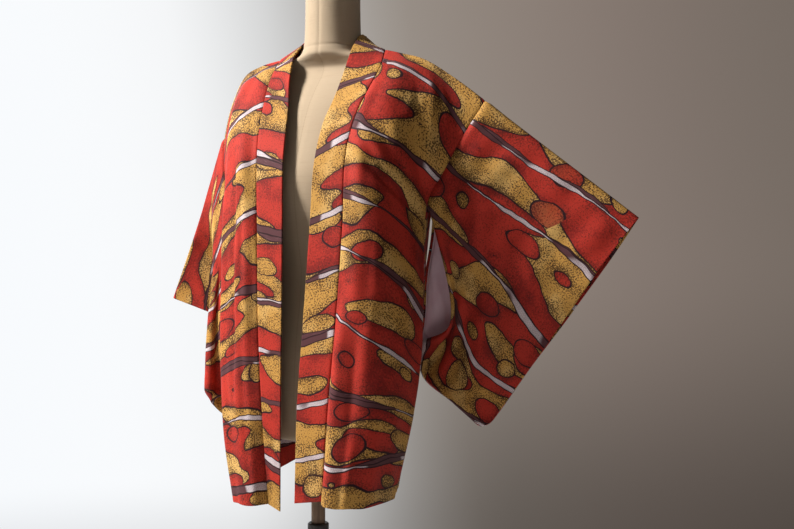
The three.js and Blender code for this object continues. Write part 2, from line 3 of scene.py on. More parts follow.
import bpy
import numpy as np
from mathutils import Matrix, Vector


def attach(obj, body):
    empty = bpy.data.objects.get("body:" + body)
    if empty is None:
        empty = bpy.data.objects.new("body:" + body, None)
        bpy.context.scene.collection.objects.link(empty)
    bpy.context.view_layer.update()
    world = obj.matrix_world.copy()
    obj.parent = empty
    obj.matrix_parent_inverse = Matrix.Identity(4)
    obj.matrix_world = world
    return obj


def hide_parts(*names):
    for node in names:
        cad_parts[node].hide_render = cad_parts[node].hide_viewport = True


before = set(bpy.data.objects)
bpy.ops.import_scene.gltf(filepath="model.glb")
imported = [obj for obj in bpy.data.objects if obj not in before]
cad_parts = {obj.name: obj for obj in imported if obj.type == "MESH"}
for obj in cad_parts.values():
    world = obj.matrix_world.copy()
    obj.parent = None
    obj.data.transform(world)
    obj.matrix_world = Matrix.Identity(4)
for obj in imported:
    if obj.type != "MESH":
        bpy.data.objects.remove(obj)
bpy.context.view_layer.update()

# kimono jacket on a limbless dress form: cloth tables are in mm, and meshes in metres
scene = bpy.context.scene
print("frame loaded")

# camera, at the photograph's angle
cameraView = {"place": (0.9888, -1.6286, 1.020), "turn": 27.0, "lens": 47.86, "sensor": 36.0}
cameraData = bpy.data.cameras.new("camera")
cameraData.lens = cameraView["lens"]
cameraData.sensor_width = cameraView["sensor"]
camera = bpy.data.objects.new("camera", cameraData)
camera.location = cameraView["place"]
camera.rotation_euler = (math.radians(90), 0, math.radians(cameraView["turn"]))
scene.collection.objects.link(camera)
scene.camera = camera


# plain maths on arrays of points
def unit(a):
    size = np.linalg.norm(a, axis=-1, keepdims=True)
    return a / np.maximum(size, 1e-9)


def ramp(x, low, high):
    t = np.clip((np.asarray(x, float) - low) / (high - low), 0, 1)
    return t * t * (3 - 2 * t)


def curveAt(knots, points, x):
    # smooth curve through points; the first axis of points runs along the knots
    knots = np.asarray(knots, float)
    points = np.asarray(points, float)
    x = np.clip(np.atleast_1d(np.asarray(x, float)), knots[0], knots[-1])
    count = len(knots)
    i = np.clip(np.searchsorted(knots, x, side="left") - 1, 0, count - 2)
    before = np.maximum(np.arange(count) - 1, 0)
    after = np.minimum(np.arange(count) + 1, count - 1)
    form = (-1,) + (1,) * (points.ndim - 1)
    slopes = (points[after] - points[before]) / (knots[after] - knots[before]).reshape(form)
    span = (knots[i + 1] - knots[i]).reshape(form)
    t = (x - knots[i]).reshape(form) / span
    t2, t3 = t * t, t * t * t
    ends = points[i] * (2 * t3 - 3 * t2 + 1) + points[i + 1] * (3 * t2 - 2 * t3)
    return ends + slopes[i] * (t3 - 2 * t2 + t) * span + slopes[i + 1] * (t3 - t2) * span


def refine(values, step, tight=(), ends=()):
    # split each interval into parts of at most one step, with extra rows close to the ends
    fine = [values[0]]
    for a, b in zip(values[:-1], values[1:]):
        parts = max(1, math.ceil((b - a) / step - 1e-6))
        fine += [a + (b - a) * k / parts for k in range(1, parts + 1)]
    low, high = values[0], values[-1]
    extra = [low + t for t in tight if "low" in ends] + [high - t for t in tight if "high" in ends]
    span = max(tight) if len(tight) else 0
    start = low + span if "low" in ends else low
    stop = high - span if "high" in ends else high
    kept = [v for v in fine if v in (low, high) or start <= v <= stop]
    return np.array(sorted(set(np.round(kept + extra, 6))))


# cloth: rows of the jacket, in mm below the shoulder fold
jacket = {
    "wall": 1.6, "bandWall": 3.0, "liningWall": 1.2, "bodyLength": 800, "armhole": 203, "gussetTop": 218,
    "sleeveDrop": 475, "sleeveWidth": 340, "frontWidth": 190, "backWidth": 297, "backSpread": 270,
    "bandWidth": 65, "gussetWidth": 62, "clearance": 5, "foldRadius": 3, "cuffRadius": 1.3,
    "cornerRadius": 28, "facing": 10, "cuffFacing": 26, "bandFacing": 24, "frontLined": 455, "backLined": 430,
    "step": 4.6, "seamSink": 0.9, "edgeRound": 1.3,
}
edgeSteps = [0.3, 0.75, 1.4, 2.6]
upperRows = [0, 2, 6, 16, 35, 60, 90, 120, 150, 178, 203]
lowerRows = [203, 218, 240, 270, 310, 355, 400, 450, 500, 550, 600, 650, 700, 745, 780, 800]
sleeveLowerRows = [203, 218, 240, 270, 305, 340, 375, 410, 440, 459, 469, 475]
upperFine = refine(upperRows, jacket["step"])
gussetFine = refine(lowerRows[1:], jacket["step"], edgeSteps, ("high",))
panelFine = np.unique(np.concatenate([upperFine, refine([203, 218], jacket["step"]), gussetFine]))
sleeveFine = np.unique(np.concatenate([upperFine, refine(sleeveLowerRows, jacket["step"])]))

frontKnots = [0, 0.25, 0.5, 0.75, 1]
netDown = [0, 70, 140, 203, 330, 480, 640, 800]
frontLeft = [
    [[112, 46, 1404], [129, -10, 1360], [112, -60, 1278], [104, -84, 1205],
     [106, -98, 1090], [97, -103, 940], [83, -106, 785], [70, -104, 621]],
    [[152, 42, 1392.4], [162, -12, 1350], [142, -62, 1268], [138, -86, 1196],
     [140, -98, 1086], [134, -106, 936], [118, -113, 782], [104, -124, 616]],
    [[196, 40, 1377], [203, 2, 1328], [178, -46, 1250], [168, -66, 1180],
     [173, -76, 1076], [171, -86, 926], [153, -98, 777], [129, -108, 616]],
    [[250, 46, 1341], [238, 18, 1290], [210, -14, 1220], [194, -28, 1155],
     [198, -34, 1046], [195, -42, 900], [179, -54, 762], [148, -50, 613]],
    [[303, 50, 1300], [270, 32, 1241], [238, 22, 1180], [208, 20, 1125],
     [204, 15, 1006], [201, 12, 868], [183, 8, 740], [151, 5, 612]],
]
frontRight = [
    [[-112, 46, 1404], [-98, -10, 1356], [-82, -64, 1275], [-73, -88, 1205],
     [-65, -99, 1085], [-60, -104, 935], [-51, -106, 780], [-38, -104, 606]],
    [[-150, 42, 1396], [-134, -14, 1350], [-118, -68, 1270], [-108, -92, 1200],
     [-99, -106, 1078], [-95, -113, 930], [-84, -119, 776], [-62, -126, 604]],
    [[-186, 38, 1378], [-172, -4, 1332], [-155, -50, 1252], [-142, -73, 1182],
     [-133, -88, 1055], [-131, -94, 915], [-121, -102, 765], [-94, -110, 603]],
    [[-216, 42, 1331], [-204, 12, 1270], [-189, -14, 1192], [-176, -32, 1128],
     [-168, -40, 1012], [-168, -43, 885], [-159, -48, 745], [-128, -62, 600]],
    [[-236, 45, 1266], [-227, 30, 1197], [-214, 21, 1129], [-203, 18, 1070],
     [-202, 17, 960], [-202, 20, 845], [-194, 14, 720], [-160, -8, 597]],
]
backKnots = [0, 0.17, 0.36, 0.6, 0.8, 1]
neckShare = 0.36
backLeft = [
    [[0, 124, 1402], [0, 143, 1335], [0, 150, 1265], [0, 152, 1200],
     [0, 149, 1078], [0, 148, 932], [0, 156, 786], [0, 170, 645]],
    [[66, 103, 1409], [70, 144, 1345], [75, 152, 1268], [72, 154, 1200],
     [66, 152, 1078], [60, 152, 932], [48, 158, 784], [36, 168, 643]],
    [[112, 46, 1404], [132, 122, 1352], [137, 140, 1264], [130, 142, 1195],
     [116, 142, 1072], [105, 143, 926], [86, 149, 779], [68, 155, 636]],
    [[196, 40, 1377], [206, 90, 1322], [192, 110, 1242], [172, 113, 1177],
     [152, 116, 1057], [140, 117, 912], [118, 123, 767], [95, 123, 626]],
    [[250, 46, 1341], [247, 80, 1287], [222, 92, 1214], [192, 86, 1153],
     [170, 91, 1036], [159, 88, 891], [141, 92, 752], [115, 88, 616]],
    [[303, 50, 1300], [272, 72, 1244], [238, 74, 1185], [200, 56, 1128],
     [180, 66, 1010], [174, 62, 870], [159, 58, 740], [131, 52, 612]],
]
backRight = [
    backLeft[0],
    [[-66, 103, 1409], [-70, 144, 1345], [-75, 152, 1268], [-72, 156, 1200],
     [-68, 156, 1076], [-66, 158, 930], [-60, 166, 784], [-48, 176, 645]],
    [[-112, 46, 1404], [-130, 122, 1352], [-136, 141, 1262], [-132, 146, 1190],
     [-122, 149, 1064], [-119, 153, 920], [-110, 159, 776], [-93, 166, 643]],
    [[-186, 38, 1378], [-192, 90, 1316], [-182, 110, 1220], [-174, 120, 1152],
     [-165, 124, 1032], [-162, 129, 896], [-152, 134, 762], [-131, 136, 636]],
    [[-216, 42, 1331], [-218, 78, 1258], [-209, 90, 1172], [-196, 92, 1112],
     [-189, 94, 995], [-190, 98, 867], [-181, 100, 742], [-155, 96, 620]],
    [[-236, 45, 1266], [-230, 68, 1197], [-217, 66, 1130], [-203, 56, 1072],
     [-203, 66, 960], [-205, 70, 845], [-197, 66, 724], [-168, 54, 605]],
]

# folds: start and end as (share across, mm down), width and height in mm; the first ones are the solids' own
folds = {
    "frontLeft": [
        ((0.5, 20), (0.98, 190), 13, 5), ((0.3, 110), (0.98, 225), 14, 5), ((0.72, 300), (0.6, 800), 20, 4),
        ((0.14, 560), (0.18, 800), 12, 5),
    ],
    "frontRight": [
        ((0.5, 60), (0.62, 800), 15, 7), ((0.2, 200), (0.2, 800), 13, -5), ((0.3, 40), (0.9, 260), 13, 4),
    ],
    "backLeft": [
        ((0.14, 180), (0.16, 800), 16, 7), ((0.36, 120), (0.36, 800), 15, -6),
        ((0.56, 220), (0.56, 800), 17, 7), ((0.82, 40), (0.95, 260), 15, 4),
    ],
    "backRight": [
        ((0.15, 200), (0.17, 800), 16, 7), ((0.36, 160), (0.35, 800), 16, -6),
        ((0.56, 190), (0.58, 800), 17, 8), ((0.8, 330), (0.8, 800), 14, -4),
    ],
}
# finer creases that the solids leave out
creases = {
    "frontLeft": [
        ((0.42, 60), (0.92, 200), 6, -2.6), ((0.62, 30), (1.0, 130), 7, 2.4),
        ((0.2, 170), (0.9, 250), 7, -2.2), ((0.84, 215), (0.72, 420), 8, -2.4),
        ((0.46, 240), (0.42, 560), 12, 2.0), ((0.08, 150), (0.88, 222), 11, 4.5),
        ((0.2, 200), (0.94, 258), 9, -4.0), ((0.1, 430), (0.1, 800), 15, 6.0),
        ((0.3, 470), (0.34, 800), 11, -3.0), ((0.62, 330), (0.56, 800), 14, 3.0),
    ],
    "frontRight": [
        ((0.34, 100), (0.38, 700), 8, -5.0), ((0.74, 240), (0.78, 800), 9, -4.6),
        ((0.88, 230), (0.9, 640), 8, 3.2), ((0.45, 30), (0.95, 190), 7, -2.6),
        ((0.16, 140), (0.18, 800), 11, 3.6), ((0.56, 160), (0.58, 800), 11, 4.0),
    ],
    "backLeft": [
        ((0.24, 200), (0.26, 800), 8, -2.2), ((0.66, 240), (0.68, 800), 8, -2.4),
        ((0.86, 200), (0.82, 640), 9, 2.2), ((0.7, 40), (0.95, 200), 7, -2.4),
    ],
    "backRight": [
        ((0.25, 240), (0.26, 800), 8, -2.0), ((0.68, 210), (0.7, 800), 8, -2.6),
        ((0.72, 40), (0.95, 210), 7, 2.6), ((0.46, 260), (0.46, 700), 9, 2.0),
    ],
    "sleeveLeft": [
        ((0.02, 150), (0.42, 330), 20, -5.0), ((0.1, 60), (0.55, 250), 26, 3.5),
        ((0.3, 240), (0.5, 475), 22, 3.6), ((0.6, 20), (0.72, 330), 24, -2.6),
        ((0.06, 300), (0.3, 440), 12, -4.2),
    ],
    "sleeveRight": [
        ((0.16, 30), (0.2, 400), 14, 3.4), ((0.5, 60), (0.4, 460), 16, -4.0),
        ((0.78, 80), (0.7, 460), 15, 3.2),
    ],
}

bandDown = [0, 25, 70, 105, 140, 203, 330, 480, 640, 800]
bandEdgeLeft = [[57, 38, 1426], [61, 12, 1402], [63, -26, 1345], [58, -46, 1305], [49, -66, 1262],
                [46, -90, 1192], [44, -101, 1082], [34, -105, 930], [24, -109, 780], [17, -106, 613]]
bandEdgeRight = [[-57, 38, 1426], [-58, 10, 1400], [-45, -26, 1345], [-33, -46, 1305], [-24, -68, 1262],
                 [-14, -94, 1192], [-10, -102, 1080], [-9, -106, 930], [-9, -109, 776], [-12, -106, 596]]
napeShare = [0, 0.2, 0.5, 0.75, 1]
bandCrest = [[-28, -4, 12], [-20, -2, 18], [-17, -2, 26], [-8, -2, 42], [0, -4, 45]]
bandFall = [[-55, -8, 22], [-39, -3, 32], [-33, -1, 35], [0, 12, 27], [0, 13, 24]]

openDown = [203, 260, 320, 390, 430, 475]
sleeveDown = [0, 95, 203, 335, 418, 475]
sleeveLeft = {
    "across": [0, 0.33, 0.67, 1], "pleats": (0.0, 90, 120, 330),
    "frontOpen": [[208, 20, 1125], [216, 42, 1064], [223, 62, 1006], [224, 84, 938], [205, 104, 902],
        [146, 124, 880]],
    "backOpen": [[202, 57, 1127], [181, 90, 1066], [159, 112, 1000], [149, 126, 932], [145, 130, 904],
        [146, 124, 880]],
    "frontNear": [[385, 70, 1233], [330, 50, 1158], [272, 40, 1070], [240, 86, 960], [202, 122, 884],
        [140, 142, 813]],
    "frontFar": [[470, 90, 1164], [414, 76, 1089], [352, 76, 1000], [286, 98, 892], [238, 116, 820],
        [206, 130, 769]],
    "frontCuff": [[552, 110, 1097], [496, 98, 1022], [432, 108, 936], [356, 118, 834], [306, 122, 767],
        [272, 124, 722]],
    "backNear": [[385, 70, 1233], [332, 92, 1160], [264, 98, 1074], [226, 124, 958], [190, 150, 880],
        [140, 142, 813]],
    "backFar": [[470, 90, 1164], [414, 110, 1091], [350, 114, 1002], [282, 134, 890], [236, 142, 820],
        [206, 130, 769]],
    "backCuff": [[552, 110, 1097], [496, 124, 1022], [432, 124, 936], [356, 118, 834], [306, 122, 767],
        [272, 124, 722]],
}
sleeveRight = {
    "across": [0, 0.25, 0.6, 1], "pleats": (13.0, 92, 110, 300),
    "frontOpen": [[-203, 18, 1070], [-212, 20, 1008], [-217, 22, 940], [-218, 28, 862], [-218, 34, 810],
        [-217, 42, 776]],
    "backOpen": [[-203, 56, 1072], [-215, 58, 1010], [-220, 60, 940], [-220, 62, 862], [-219, 56, 810],
        [-217, 42, 776]],
    "frontNear": [[-271, 49, 1188], [-254, 30, 1090], [-238, 14, 985], [-246, 14, 872], [-250, 18, 804],
        [-252, 24, 753]],
    "frontFar": [[-320, 54, 1074], [-262, 84, 1036], [-240, 112, 985], [-248, 122, 860], [-248, 122, 766],
        [-238, 120, 692]],
    "frontCuff": [[-376, 60, 953], [-294, 86, 921], [-246, 158, 886], [-222, 216, 788], [-202, 230, 705],
        [-188, 232, 645]],
    "backNear": [[-271, 49, 1188], [-244, 66, 1100], [-226, 68, 988], [-229, 72, 870], [-239, 52, 804],
        [-252, 24, 753]],
    "backFar": [[-320, 54, 1074], [-246, 106, 1044], [-214, 132, 978], [-220, 138, 855], [-228, 132, 766],
        [-238, 120, 692]],
    "backCuff": [[-376, 60, 953], [-284, 108, 926], [-230, 172, 888], [-222, 216, 788], [-202, 230, 705],
        [-188, 232, 645]],
}

# dress form: height, half width, front y and back y
formSections = np.array([
    [712, 138, -66, 120], [718, 146, -74, 128], [740, 152, -80, 132], [800, 152, -82, 134],
    [880, 136, -76, 118], [1000, 110, -58, 98], [1080, 121, -72, 110], [1170, 135, -82, 130],
    [1240, 139, -60, 136], [1300, 144, -34, 132], [1340, 158, -6, 116], [1362, 172, 12, 96],
    [1378, 160.8, 18, 85.4], [1388, 126, 12, 86], [1395, 92, 4, 98], [1402, 66, -2, 104], [1414, 56, -1, 105],
    [1440, 52, 1, 103], [1530, 50, 2, 102],
])


def formAt(z):
    shape = np.shape(z)
    values = curveAt(formSections[:, 0], formSections[:, 1:], np.ravel(z))
    half, front, back = (values[:, k].reshape(shape) for k in range(3))
    return half, (front + back) / 2, (back - front) / 2


def clearForm(points):
    # move a cloth point out until it clears the form
    half, middle, deep = formAt(points[..., 2])
    a, b = half + jacket["clearance"], deep + jacket["clearance"]
    f = np.hypot(points[..., 0] / a, (points[..., 1] - middle) / b)
    inside = (f < 1) & (f > 1e-6) & (points[..., 2] <= 1385) & (points[..., 2] >= 712)
    f = np.where(inside, f, 1)
    out = points.copy()
    out[..., 0] = points[..., 0] / f
    out[..., 1] = np.where(inside, middle + (points[..., 1] - middle) / f, points[..., 1])
    return out


def foldHeight(table, u, v, width, length=jacket["bodyLength"]):
    total = 0
    for (u0, v0), (u1, v1), wide, high in table:
        ax, bx = u0 * width, u1 * width
        runX, runY = bx - ax, v1 - v0
        t = ((u * width - ax) * runX + (v - v0) * runY) / (runX * runX + runY * runY)
        near = np.clip(t, 0, 1)
        off = np.hypot(u * width - ax - near * runX, v - v0 - near * runY)
        tail = 1 if v1 >= length else ramp(1 - t, 0, 0.25)
        total = total + high * ramp(t, 0, 0.3) * tail * np.exp(-((off / wide) ** 2))
    return total


def softWaves(u, v, width, seed, high=0.8):
    # slow uneven ripples of hanging cloth, longer down the grain than across it
    random = np.random.default_rng(seed)
    total = 0
    for _ in range(7):
        across, down = random.uniform(40, 110), random.uniform(130, 380) * random.choice([-1, 1])
        total = total + np.sin(2 * math.pi * (u * width / across + v / down) + random.uniform(0, 6.28))
    return total * high / 2.6


def roundOff(distance, radius):
    rim = np.clip(distance / radius, 0, 1)
    return radius * np.sqrt(np.maximum(1 - (1 - rim) ** 2, 0))


def netSurface(net, knots, name, width, outward, seed):
    def plain(us, vs):
        columns = np.stack([curveAt(netDown, column, vs) for column in net])
        return np.swapaxes(curveAt(knots, columns, us), 0, 1)

    def surface(us, vs):
        us, vs = np.atleast_1d(us).astype(float), np.atleast_1d(vs).astype(float)
        across = plain(np.minimum(us + 0.02, 1), vs) - plain(np.maximum(us - 0.02, 0), vs)
        down = plain(us, np.minimum(vs + 4, jacket["bodyLength"])) - plain(us, np.maximum(vs - 4, 0))
        normal = unit(np.cross(down, across)) * outward
        u, v = us[None, :], vs[:, None]
        fade = ramp(u, 0, 0.06) * ramp(1 - u, 0, 0.06)
        high = foldHeight(folds[name], u, v, width) + foldHeight(creases[name], u, v, width)
        high = (high + softWaves(u, v, width, seed) * ramp(v, 10, 60)) * fade
        rounded = roundOff(v, jacket["foldRadius"]) * ramp(u, 0.62, 0.95) * (1 - ramp(v, 30, 110))
        return clearForm(plain(us, vs) + normal * (high + rounded)[..., None])

    return surface


def makeSide(frontNet, backNet, side, hand):
    front = netSurface(frontNet, frontKnots, "front" + side, jacket["frontWidth"], hand, 3 if hand > 0 else 4)
    rawBack = netSurface(backNet, backKnots, "back" + side, jacket["backSpread"], -hand, 5 if hand > 0 else 6)
    meetDown = 70   # the back eases in to meet the front over this length

    def back(us, vs):
        us, vs = np.atleast_1d(us).astype(float), np.atleast_1d(vs).astype(float)
        share = np.clip((us - neckShare) / (1 - neckShare), 0, 1)
        miss = (front(share, [0.0]) - rawBack(us, [0.0])) * (us > neckShare)[None, :, None]
        pull = np.where(vs < meetDown, (1 - vs / meetDown) ** 2, 0)[:, None, None]
        return rawBack(us, vs) + miss * pull

    return {"front": front, "back": back, "hand": hand}


leftSide = makeSide(frontLeft, backLeft, "Left", 1)
rightSide = makeSide(frontRight, backRight, "Right", -1)


def cornerPlace(ss, vs):
    # place on the flat sleeve, with its lower outer corner drawn in to an arc
    radius, width, drop = jacket["cornerRadius"], jacket["sleeveWidth"], jacket["sleeveDrop"]
    s, v = np.broadcast_arrays(ss[None, :], vs[:, None])
    a, b = radius - (1 - s) * width, radius - (drop - v)
    inside = (a > 0) & (b > 0)
    pull = np.where(inside, np.maximum(a, b) / np.maximum(np.hypot(a, b), 1e-6), 1)
    return (np.where(inside, 1 - (radius - a * pull) / width, s),
            np.where(inside, drop - (radius - b * pull), v))


def between(grid, ss, vs, s, v):
    # grid of points read at places between its own rows and columns
    column, row = np.interp(s, ss, np.arange(len(ss))), np.interp(v, vs, np.arange(len(vs)))
    j, i = np.minimum(column.astype(int), len(ss) - 2), np.minimum(row.astype(int), len(vs) - 2)
    dx, dy = (column - j)[..., None], (row - i)[..., None]
    top = grid[i, j] * (1 - dx) + grid[i, j + 1] * dx
    return top * (1 - dy) + (grid[i + 1, j] * (1 - dx) + grid[i + 1, j + 1] * dx) * dy


def makeSleeve(table, side, name, seed):
    drop, width, corner = jacket["sleeveDrop"], jacket["sleeveWidth"], jacket["cornerRadius"]

    def plainOf(name):
        def plain(ss, vs):
            edge = np.where((vs <= jacket["armhole"])[:, None], side[name]([1.0], vs)[:, 0],
                            curveAt(openDown, table[name + "Open"], vs))
            outer = [curveAt(sleeveDown, table[name + part], vs) for part in ("Near", "Far", "Cuff")]
            columns = np.stack([edge] + outer)
            return np.swapaxes(curveAt(table["across"], columns, ss), 0, 1)

        return plain

    def layer(plain, other, outward, turn):
        def surface(ss, vs):
            ss, vs = np.atleast_1d(ss).astype(float), np.atleast_1d(vs).astype(float)
            across = plain(np.minimum(ss + 0.03, 1), vs) - plain(np.maximum(ss - 0.03, 0), vs)
            down = plain(ss, np.minimum(vs + 12, drop)) - plain(ss, np.maximum(vs - 12, 0))
            normal = unit(np.cross(down, across)) * outward
            s, v = ss[None, :], vs[:, None]
            sewn = ramp(s, 0.8, 1) * ramp(v, 215, 290)
            limit = jacket["foldRadius"] + (jacket["cuffRadius"] - jacket["foldRadius"]) * sewn
            rounded = roundOff(np.minimum(v, drop - v), jacket["foldRadius"])
            plump = limit * rounded / jacket["foldRadius"] * ramp(s, 0, 0.03)
            # both layers follow the same folds
            high = foldHeight(creases[name], s, v, width, drop) + softWaves(s, v, width, seed, 1.1)
            deep, pitch, start, full = table["pleats"]
            gather = np.sin(2 * math.pi * (s * width + 0.05 * v) / pitch)
            high = high + deep * gather * ramp(v, start, full) * ramp(1 - s, 0, 0.1)
            high = high * ramp(s, 0, 0.12) * ramp(v, 0, 45) * ramp(drop - v, 0, 30)
            place = plain(ss, vs)
            if len(ss) > 1 and ss[-1] == 1 and vs[-1] == drop:
                shared = 0.5 * ramp(corner * 1.4 - np.maximum((1 - s) * width, drop - v), 0, corner * 0.4)
                place = place + (other(ss, vs) - place) * shared[..., None]
                place = between(place, ss, vs, *cornerPlace(ss, vs))
            return place + normal * (plump + turn * high)[..., None]

        return surface

    hand, front, back = side["hand"], plainOf("front"), plainOf("back")
    return {"front": layer(front, back, hand, 1), "back": layer(back, front, -hand, -1)}


leftSleeve = makeSleeve(sleeveLeft, leftSide, "sleeveLeft", 8)
rightSleeve = makeSleeve(sleeveRight, rightSide, "sleeveRight", 9)
print("cloth surfaces ready")


# meshes: a grid holds points, flat-cloth places, distances to its edges and the inner face's finish
def gridOf(points, flat, seam, free, inner, flip):
    grid = {"points": points, "flat": flat, "seam": seam, "free": free, "inner": inner}
    return {key: value[:, ::-1] for key, value in grid.items()} if flip else grid


def joinGrids(grids):
    points, quads, corners, inner, seam, free = [], [], [], [], [], []
    start = 0
    for grid in grids:
        rows, columns = grid["points"].shape[:2]
        index = start + np.arange(rows * columns).reshape(rows, columns)
        around = [index[:-1, :-1], index[1:, :-1], index[1:, 1:], index[:-1, 1:]]
        quads.append(np.stack(around, -1).reshape(-1, 4))
        inner.append(grid["inner"][:-1, :-1].reshape(-1))
        points.append(grid["points"].reshape(-1, 3))
        corners.append(grid["flat"].reshape(-1, 2))
        seam.append(grid["seam"].reshape(-1))
        free.append(grid["free"].reshape(-1))
        start += rows * columns
    points, quads, corners = np.concatenate(points), np.concatenate(quads), np.concatenate(corners)
    keys = np.round(points * 100).astype(np.int64)
    _, first, back = np.unique(keys, axis=0, return_index=True, return_inverse=True)
    back = back.reshape(-1)
    return {
        "points": points[first], "keys": keys[first], "faces": back[quads], "flat": corners[quads],
        "inner": np.concatenate(inner),
        "seam": np.concatenate(seam)[first], "free": np.concatenate(free)[first],
    }


def shareNormals(pieces):
    keys = np.concatenate([piece["keys"] for piece in pieces])
    _, back = np.unique(keys, axis=0, return_inverse=True)
    back = back.reshape(-1)
    sums = np.zeros((back.max() + 1, 3))
    start = 0
    for piece in pieces:
        p, f = piece["points"], piece["faces"]
        normal = unit(np.cross(p[f[:, 2]] - p[f[:, 0]], p[f[:, 3]] - p[f[:, 1]]))
        for k in range(4):
            np.add.at(sums, back[start + f[:, k]], normal)
        start += len(p)
    start = 0
    for piece in pieces:
        count = len(piece["points"])
        piece["normals"] = unit(sums[back[start:start + count]])
        start += count


def clothObject(name, piece, wall, materials):
    p, n, faces = piece["points"], piece["normals"], piece["faces"]
    # the wall rounds off at every edge, and sinks a little into each sewn seam
    edge = np.minimum(piece["seam"], piece["free"])
    half = np.maximum(wall / 2 * roundOff(edge, jacket["edgeRound"]) / jacket["edgeRound"], 0.12)[:, None]
    sink = (jacket["seamSink"] * np.exp(-((piece["seam"] / 2.6) ** 2)))[:, None]
    outer, inner = p + n * (half - sink), p - n * (half + sink)
    count = len(p)
    a, b = faces.reshape(-1), np.roll(faces, -1, axis=1).reshape(-1)
    used = a != b
    forward, reverse = (a * count + b)[used], (b * count + a)[used]
    rim = ~np.isin(forward, reverse)
    rimA, rimB = a[used][rim], b[used][rim]
    flatA = piece["flat"].reshape(-1, 2)[used][rim]
    flatB = np.roll(piece["flat"], -1, axis=1).reshape(-1, 2)[used][rim]
    polygons, flats, slots = [], [], []
    for face, flat, slotIndex in zip(faces.tolist(), piece["flat"].tolist(), piece["inner"].tolist()):
        kept = [k for k in range(4) if face[k] != face[(k + 1) % 4]]
        if len(kept) > 2:
            polygons.append([face[k] for k in kept])
            flats += [flat[k] for k in kept]
            slots.append(0)
            polygons.append([face[k] + count for k in reversed(kept)])
            flats += [flat[k] for k in reversed(kept)]
            slots.append(slotIndex)
    for k in range(len(rimA)):
        i, j = int(rimA[k]), int(rimB[k])
        polygons.append([j, i, i + count, j + count])
        flats += [flatB[k].tolist(), flatA[k].tolist(), flatA[k].tolist(), flatB[k].tolist()]
        slots.append(0)
    mesh = bpy.data.meshes.new(name)
    mesh.from_pydata((np.concatenate([outer, inner]) * 0.001).tolist(), [], polygons)
    layer = mesh.uv_layers.new(name="clothFlat")
    layer.data.foreach_set("uv", np.array(flats, np.float32).ravel())
    mesh.polygons.foreach_set("material_index", slots)
    mesh.polygons.foreach_set("use_smooth", [True] * len(polygons))
    mesh.validate()
    mesh.update()
    thing = bpy.data.objects.new(name, mesh)
    scene.collection.objects.link(thing)
    for material in materials:
        mesh.materials.append(material)
    return thing


def edgeSide(shares, width):
    # distance in mm from each column to the panel's two long edges
    return shares * width, (1 - shares) * width


def columnsOf(shares, width, ends=("low", "high")):
    return refine(shares, jacket["step"] / width, [step / width for step in edgeSteps], ends)


def flatPlaces(across, down, shift):
    # places on the flat cloth, in metres
    return np.stack(np.broadcast_arrays(across * 0.001 + shift[0], down * 0.001 + shift[1]), -1)


frontColumns = columnsOf([0, 0.06, 0.14, 0.22, 0.31, 0.4, 0.5, 0.6, 0.7, 0.79, 0.87, 0.94, 1],
                         jacket["frontWidth"])
neckColumns = columnsOf([0, 0.05, 0.11, 0.17, 0.23, 0.295, 0.36], jacket["backWidth"], ("low",))
backColumns = np.concatenate([neckColumns[:-1], neckShare + frontColumns * (1 - neckShare)])
sleeveShares = [0, 0.03, 0.14, 0.24, 0.34, 0.45, 0.56, 0.67, 0.78, 0.88, 0.92, 0.96, 1]
sleeveColumns = columnsOf(sleeveShares, jacket["sleeveWidth"])
gussetColumns = columnsOf([0, 0.33, 0.67, 1], jacket["gussetWidth"])
bandColumns = columnsOf([0, 0.25, 0.5, 0.75, 1], jacket["bandWidth"])


def bodyPiece(side, shift):
    hand, rows = side["hand"], panelFine
    v = rows[:, None]
    hem = jacket["bodyLength"] - v
    frontWidth, backWidth = jacket["frontWidth"], jacket["backWidth"]

    # front: band seam on one long edge, sleeve or gusset seam on the other
    u = frontColumns[None, :]
    low, high = edgeSide(u, frontWidth)
    inner = np.where((v < jacket["frontLined"]) & (low > jacket["bandFacing"]), 1, 0)
    flat = flatPlaces(backWidth - frontWidth + u * frontWidth, -v, shift)
    points = side["front"](frontColumns, rows)
    front = gridOf(points, flat, np.minimum(low, high) + 0 * v, hem + 0 * u, inner, hand < 0)
    # back: centre seam, neck seam at the top, sleeve or gusset seam
    u = backColumns[None, :]
    low, high = edgeSide(u, backWidth)
    neck = np.where(u <= neckShare + 1e-6, v, np.hypot(v, (u - neckShare) * backWidth))
    inner = np.where((v < jacket["backLined"]) & (u >= 0), 1, 0)
    flat = flatPlaces(u * backWidth, v, shift)
    points = side["back"](backColumns, rows)
    back = gridOf(points, flat, np.minimum(np.minimum(low, high), neck), hem + 0 * u, inner, hand > 0)
    return joinGrids([front, back])


def gussetPiece(side, shift):
    hand, rows = side["hand"], gussetFine
    k, v = gussetColumns[None, :], rows[:, None]
    a, b = side["front"]([1.0], rows), side["back"]([1.0], rows)
    hollow = 4 * np.sin(math.pi * k) * ramp(v, jacket["armhole"], 420)
    hollow = hollow + 1.2 * np.sin(2 * math.pi * k) * np.sin(v / 47.0)
    points = a * (1 - k[..., None]) + b * k[..., None]
    points[..., 0] -= hand * 0.9 * hollow
    low, high = edgeSide(k, jacket["gussetWidth"])
    flat = flatPlaces(k * jacket["gussetWidth"], -v, shift)
    inner = np.where((v < jacket["frontLined"]) & (k >= 0), 1, 0)
    ends = np.minimum(jacket["bodyLength"] - v, v - jacket["gussetTop"] + 0.1)
    return joinGrids([gridOf(points, flat, np.minimum(low, high) + 0 * v, ends + 0 * k, inner, hand < 0)])


